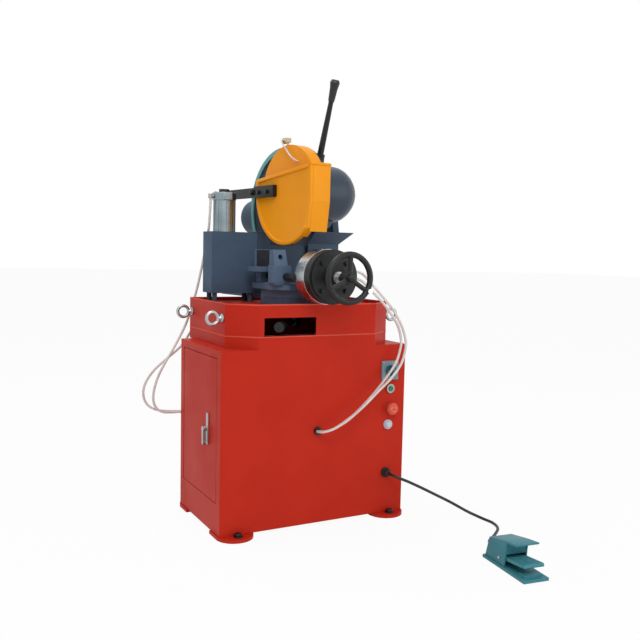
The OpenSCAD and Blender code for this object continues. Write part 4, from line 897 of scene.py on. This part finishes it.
# Each section of the nut: its share of the corner's radius, and its height
WHEEL_NUT_SECTIONS = (
    (1.0, 0.0018), (1.0, 0.0090), (0.86, 0.0102), (0.84, 0.0120), (0.62, 0.0150), (0.25, 0.0164),
)


def model_wheel_nut():
    """Domed nut and washer on the end of the vise screw."""
    washer = drawn_up("wheel_washer", [(WHEEL_WASHER_R, 0.0), (WHEEL_WASHER_R, WHEEL_WASHER_T)])
    rounded(washer, width=0.0005, segments=1)
    sections = [(WHEEL_NUT_CORNER * share, height) for share, height in WHEEL_NUT_SECTIONS]
    nut = rounded(drawn_up("wheel_nut", sections, sides=6), width=0.0008)
    place = aimed((0.0, WHEEL_Y - WHEEL_NUT_OUT, WHEEL_Z), FRONT, WHEEL_NUT_SPIN)
    hand_in(settle(joined([nut, washer]), place), "wheel_nut", "screw", "black_metal")


# Feed tank
TANK_X, TANK_Y, TANK_LOW, TANK_TOP = -0.183, 0.142, 0.705, 1.010
TANK_R, TANK_IN_CAP, TANK_SIDES = 0.034, 0.01, 96
TANK_GROOVES, GROOVE_HALF_ANGLE, GROOVE_DEPTH = 8, 0.11, 0.0022
TANK_CAP_R, TANK_CAP_H, TANK_CAP_SIDES = 0.037, 0.026, 8
CAP_EDGE_IN, CAP_EDGE_H, CAP_OUT = 0.0015, 0.002, 0.001
TANK_SCREWS, TANK_SCREW_CIRCLE_R, TANK_SCREW_SUNK = 4, 0.029, 0.0003


def model_tank_tube():
    """Drawn tube with lengthwise grooves between two cast end caps."""
    tube = drawn_up(
        "tank_tube", [(TANK_R, TANK_LOW + TANK_IN_CAP), (TANK_R, TANK_TOP - TANK_IN_CAP)], TANK_SIDES)
    per_groove = 2 * math.pi / TANK_GROOVES

    def in_groove(face):
        turn = (math.atan2(face.center.y, face.center.x) + per_groove / 2) % per_groove - per_groove / 2
        return abs(face.normal.z) < 0.5 and abs(turn) < GROOVE_HALF_ANGLE

    select_faces(tube, in_groove)
    bpy.ops.mesh.extrude_region_shrink_fatten(TRANSFORM_OT_shrink_fatten={"value": -GROOVE_DEPTH})
    face_outward()
    rounded(tube, width=0.0006, segments=1)
    edge_r, side_r = TANK_CAP_R - CAP_EDGE_IN, TANK_CAP_R + CAP_OUT
    caps = []
    for low, high in ((TANK_LOW, TANK_LOW + TANK_CAP_H), (TANK_TOP - TANK_CAP_H, TANK_TOP)):
        cap = drawn_up("tank_cap", [
            (edge_r, low), (side_r, low + CAP_EDGE_H), (side_r, high - CAP_EDGE_H), (edge_r, high),
        ], TANK_CAP_SIDES)
        settle(cap, Matrix.Rotation(math.pi / TANK_CAP_SIDES, 4, "Z"))
        caps.append(rounded(cap, width=0.003, segments=3))
    tank = joined([tube] + caps)
    hand_in(
        settle(tank, Matrix.Translation((TANK_X, TANK_Y, 0.0))), "tank_tube", "base", slot_of["feed_tank"],
        ["feed_tank"])


def model_tank_screws():
    """Four screws in the tank's upper cap."""
    screw = cap_screw("tank_screw", head_r=0.0042, head_h=0.0035)
    places = []
    for turn in range(TANK_SCREWS):
        angle = math.pi / TANK_SCREWS + turn * 2 * math.pi / TANK_SCREWS
        x = TANK_X + TANK_SCREW_CIRCLE_R * math.cos(angle)
        y = TANK_Y + TANK_SCREW_CIRCLE_R * math.sin(angle)
        places.append(Matrix.Translation((x, y, TANK_TOP - TANK_SCREW_SUNK)))
    hand_in(repeated(screw, places), "tank_screws", "base", "black_metal")


# Front panel
PANEL_X, PANEL_Y, SWITCH_Z, START_Z, STOP_Z = 0.252, -0.175, 0.464, 0.406, 0.344
BUTTON_X = 0.256
PLATE_SCREW_OUT, PLATE_T = 0.0255, 0.0058
POINTER_SIZE, POINTER_OUT, POINTER_UP = (0.0024, 0.0010, 0.011), 0.0263, 0.0095
START_CAP_RIM = [(0.0081, 0.0036), (0.0081, 0.0070), (0.0077, 0.0082), (0.0066, 0.0088)]
START_CAP_HOLLOW = [(0.0056, 0.0088), (0.0050, 0.0082)]
RIDGES, RIDGE_R, RIDGE_OUT, RIDGE_WIRE_R = 3, 0.0085, 0.0261, 0.0009
RIDGE_POINTS, RIDGE_STEP = 9, 0.16


def model_switch_details():
    """Screws in the switch plate's corners, and the pointer on the knob."""
    screw = cap_screw("plate_screw", head_r=0.0026, head_h=0.0016)
    places = [
        aimed((PANEL_X + side * PLATE_SCREW_OUT, PANEL_Y - PLATE_T, SWITCH_Z + rise * PLATE_SCREW_OUT), FRONT)
        for side in (-1, 1) for rise in (-1, 1)]
    hand_in(repeated(screw, places), "switch_screws", "base", "steel")
    pointer_at = (PANEL_X, PANEL_Y - POINTER_OUT, SWITCH_Z + POINTER_UP)
    pointer = rounded(block("switch_pointer", POINTER_SIZE, pointer_at), width=0.0003, segments=1)
    hand_in(pointer, "switch_pointer", "switch", "cream_plastic")


def model_start_cap():
    """The start button, with a hollow in its crown."""
    button = smoothed(drawn_up("start_cap", START_CAP_RIM + START_CAP_HOLLOW, sides=36))
    settle(button, aimed((BUTTON_X, PANEL_Y, START_Z), FRONT))
    hand_in(button, "start_cap", "start", slot_of["start_button"], ["start_button"])


def model_stop_ridges():
    """Curved ridges on the stop button."""
    ridges = []
    for turn in range(RIDGES):
        route = []
        for step in range(RIDGE_POINTS):
            angle = turn * 2 * math.pi / RIDGES + step * RIDGE_STEP
            x = BUTTON_X + RIDGE_R * math.cos(angle)
            z = STOP_Z + RIDGE_R * math.sin(angle)
            route.append((x, PANEL_Y - RIDGE_OUT, z))
        ridges.append(edge_bead("stop_ridge", route, RIDGE_WIRE_R, closed=False))
    hand_in(joined(ridges), "stop_ridges", "stop", "cream_plastic")


# Foot pedal: the outlines are pairs of Y and Z in the pedal's own frame
PEDAL_PLACE = Matrix.Translation((0.342, -0.592, 0.0)) @ Matrix.Rotation(math.radians(-7.5), 4, "Z")
PEDAL_HALF_W, PEDAL_SHEET, PEDAL_FOOT = 0.035, 0.004, 0.008
PEDAL_HOOD_OUTLINE = [
    (-0.008, PEDAL_FOOT), (-0.026, 0.066), (-0.104, 0.080), (-0.150, 0.086),
    (-0.150, 0.0815), (-0.104, 0.0755), (-0.029, 0.0618), (-0.0125, PEDAL_FOOT),
]
PEDAL_WALL_OUTLINE = [
    (-0.009, PEDAL_FOOT), (-0.027, 0.065), (-0.106, 0.0785), (-0.102, 0.052), (-0.098, PEDAL_FOOT),
]
PEDAL_FRONT_H, PEDAL_FRONT_AT = 0.036, (0.0, -0.0985, 0.060)
PEDAL_ENTRY_SECTIONS = [(0.0085, -0.002), (0.0085, 0.006), (0.0070, 0.018)]
PEDAL_ENTRY_AT = (0.0, 0.004, 0.022)
TREAD_HALF_W, TREAD_CLIMB, TREAD_LENGTH = 0.026, 0.012, 0.110
TREAD_BACK_Y, TREAD_BACK_Z = -0.068, 0.031
TREAD_RISE = math.atan2(TREAD_CLIMB, TREAD_LENGTH)
RIBS, RIB_W, RIB_T, RIB_OUT = 7, 0.0036, 0.0024, 0.0006
RIB_FIRST_Y, RIB_PITCH = -0.112, 0.0095


def model_pedal_hood():
    """Sheet housing over the pedal's hinge, with a canopy that rises to the front."""
    hood = profiled("pedal_hood", PEDAL_HOOD_OUTLINE, -PEDAL_HALF_W, PEDAL_HALF_W)
    walls = []
    for left in (-PEDAL_HALF_W, PEDAL_HALF_W - PEDAL_SHEET):
        walls.append(profiled("pedal_wall", PEDAL_WALL_OUTLINE, left, left + PEDAL_SHEET))
    front_size = (2 * PEDAL_HALF_W - PEDAL_SHEET, PEDAL_SHEET, PEDAL_FRONT_H)
    walls.append(block("pedal_front", front_size, PEDAL_FRONT_AT))
    entry = drawn_up("pedal_entry", PEDAL_ENTRY_SECTIONS, sides=28)
    walls.append(settle(entry, aimed(PEDAL_ENTRY_AT, FRONT)))
    settle(rounded(fused(hood, walls), width=0.0012), PEDAL_PLACE)
    hand_in(hood, "pedal_hood", "base", slot_of["pedal_cover"], ["pedal_cover"])


def model_pedal_ribs():
    """Ribs across the pedal's tread, so that a shoe doesn't slip."""
    rib = rounded(block("tread_rib", (2 * TREAD_HALF_W, RIB_W, RIB_T)), width=0.0009)
    tilt = Matrix.Rotation(-TREAD_RISE, 4, "X")
    places = []
    for step in range(RIBS):
        y = RIB_FIRST_Y - RIB_PITCH * step
        z = TREAD_BACK_Z + (TREAD_BACK_Y - y) * TREAD_CLIMB / TREAD_LENGTH + RIB_OUT
        places.append(PEDAL_PLACE @ Matrix.Translation((0.0, y, z)) @ tilt)
    hand_in(repeated(rib, places), "tread_ribs", "pedal", "teal_paint")


def model_details():
    """All pieces that are modelled over the solids."""
    model_foot_bolts()
    model_lifting_rings()
    model_tray_lip()
    model_tray_beads()
    model_lock_plate()
    model_guard_shell()
    model_guard_bead()
    model_guard_strip()
    model_bar_bolt()
    model_head_stop()
    model_fan_grille()
    model_wheel_nut()
    model_tank_tube()
    model_tank_screws()
    model_switch_details()
    model_start_cap()
    model_stop_ridges()
    model_pedal_hood()
    model_pedal_ribs()


# Stage
FLOOR_SIZE, FLOOR_Z = 60.0, -0.0005
FLOOR_TONE, FLOOR_ROUGHNESS, FLOOR_GLOW = (0.92, 0.92, 0.92, 1.0), 0.9, 0.93
WHITE = (1.0, 1.0, 1.0, 1.0)
SURROUND_LIGHT, SURROUND_SEEN = 0.5, 1.0
# Each lamp: its name, its place, the point it faces, its size and its power
LAMPS = (
    ("key_lamp", (-1.1, -3.0, 3.0), (0.0, 0.0, 0.7), 1.8, 50.0),
    ("fill_lamp", (2.2, -2.7, 1.5), (0.1, 0.0, 0.6), 2.4, 20.0),
    ("top_lamp", (-0.6, 0.9, 3.2), (0.0, 0.0, 0.8), 1.4, 26.0),
)


def seen_directly(tree):
    """A value socket: 1 for what the camera or a reflection sees, 0 for what only gives light."""
    path = tree.nodes.new("ShaderNodeLightPath")
    either = add_node(tree, "ShaderNodeMath", operation="MAXIMUM")
    tree.links.new(path.outputs["Is Camera Ray"], either.inputs[0])
    tree.links.new(path.outputs["Is Glossy Ray"], either.inputs[1])
    return either.outputs["Value"]


def lay_floor():
    """A pale floor that shows almost white, with a faint shadow."""
    leave_edit()
    bpy.ops.mesh.primitive_plane_add(size=FLOOR_SIZE, location=(0.0, 0.0, FLOOR_Z))
    floor = bpy.context.object
    floor.name = "floor"
    material, tree, shader = blank_material("pale_floor")
    shader.inputs["Base Color"].default_value = FLOOR_TONE
    shader.inputs["Roughness"].default_value = FLOOR_ROUGHNESS
    share = ranged(tree, seen_directly(tree), 0.0, FLOOR_GLOW, from_low=0.0, from_high=1.0)
    glow = tree.nodes.new("ShaderNodeEmission")
    blend = tree.nodes.new("ShaderNodeMixShader")
    tree.links.new(share, blend.inputs["Fac"])
    tree.links.new(shader.outputs["BSDF"], blend.inputs[1])
    tree.links.new(glow.outputs["Emission"], blend.inputs[2])
    tree.links.new(blend.outputs["Shader"], tree.nodes["Material Output"].inputs["Surface"])
    floor.data.materials.append(material)


def set_surround():
    """A surround that shows white and gives a softer light."""
    world = bpy.data.worlds.new("studio")
    bpy.context.scene.world = world
    world.use_nodes = True
    tree = world.node_tree
    background = tree.nodes["Background"]
    background.inputs["Color"].default_value = WHITE
    strength = ranged(
        tree, seen_directly(tree), SURROUND_LIGHT, SURROUND_SEEN, from_low=0.0, from_high=1.0)
    tree.links.new(strength, background.inputs["Strength"])


def hang_lamps():
    """Soft lamps: two in front, and one above and behind."""
    for name, place, aim, size, power in LAMPS:
        data = bpy.data.lights.new(name, "AREA")
        data.energy = power
        data.size = size
        lamp = bpy.data.objects.new(name, data)
        bpy.context.scene.collection.objects.link(lamp)
        facing = (Vector(place) - Vector(aim)).to_track_quat("Z", "Y")
        lamp.matrix_world = Matrix.Translation(place) @ facing.to_matrix().to_4x4()


place_camera()
dress_nodes()
lay_hoses()
model_details()
lay_floor()
set_surround()
hang_lamps()
bpy.context.scene.view_settings.view_transform = "Standard"
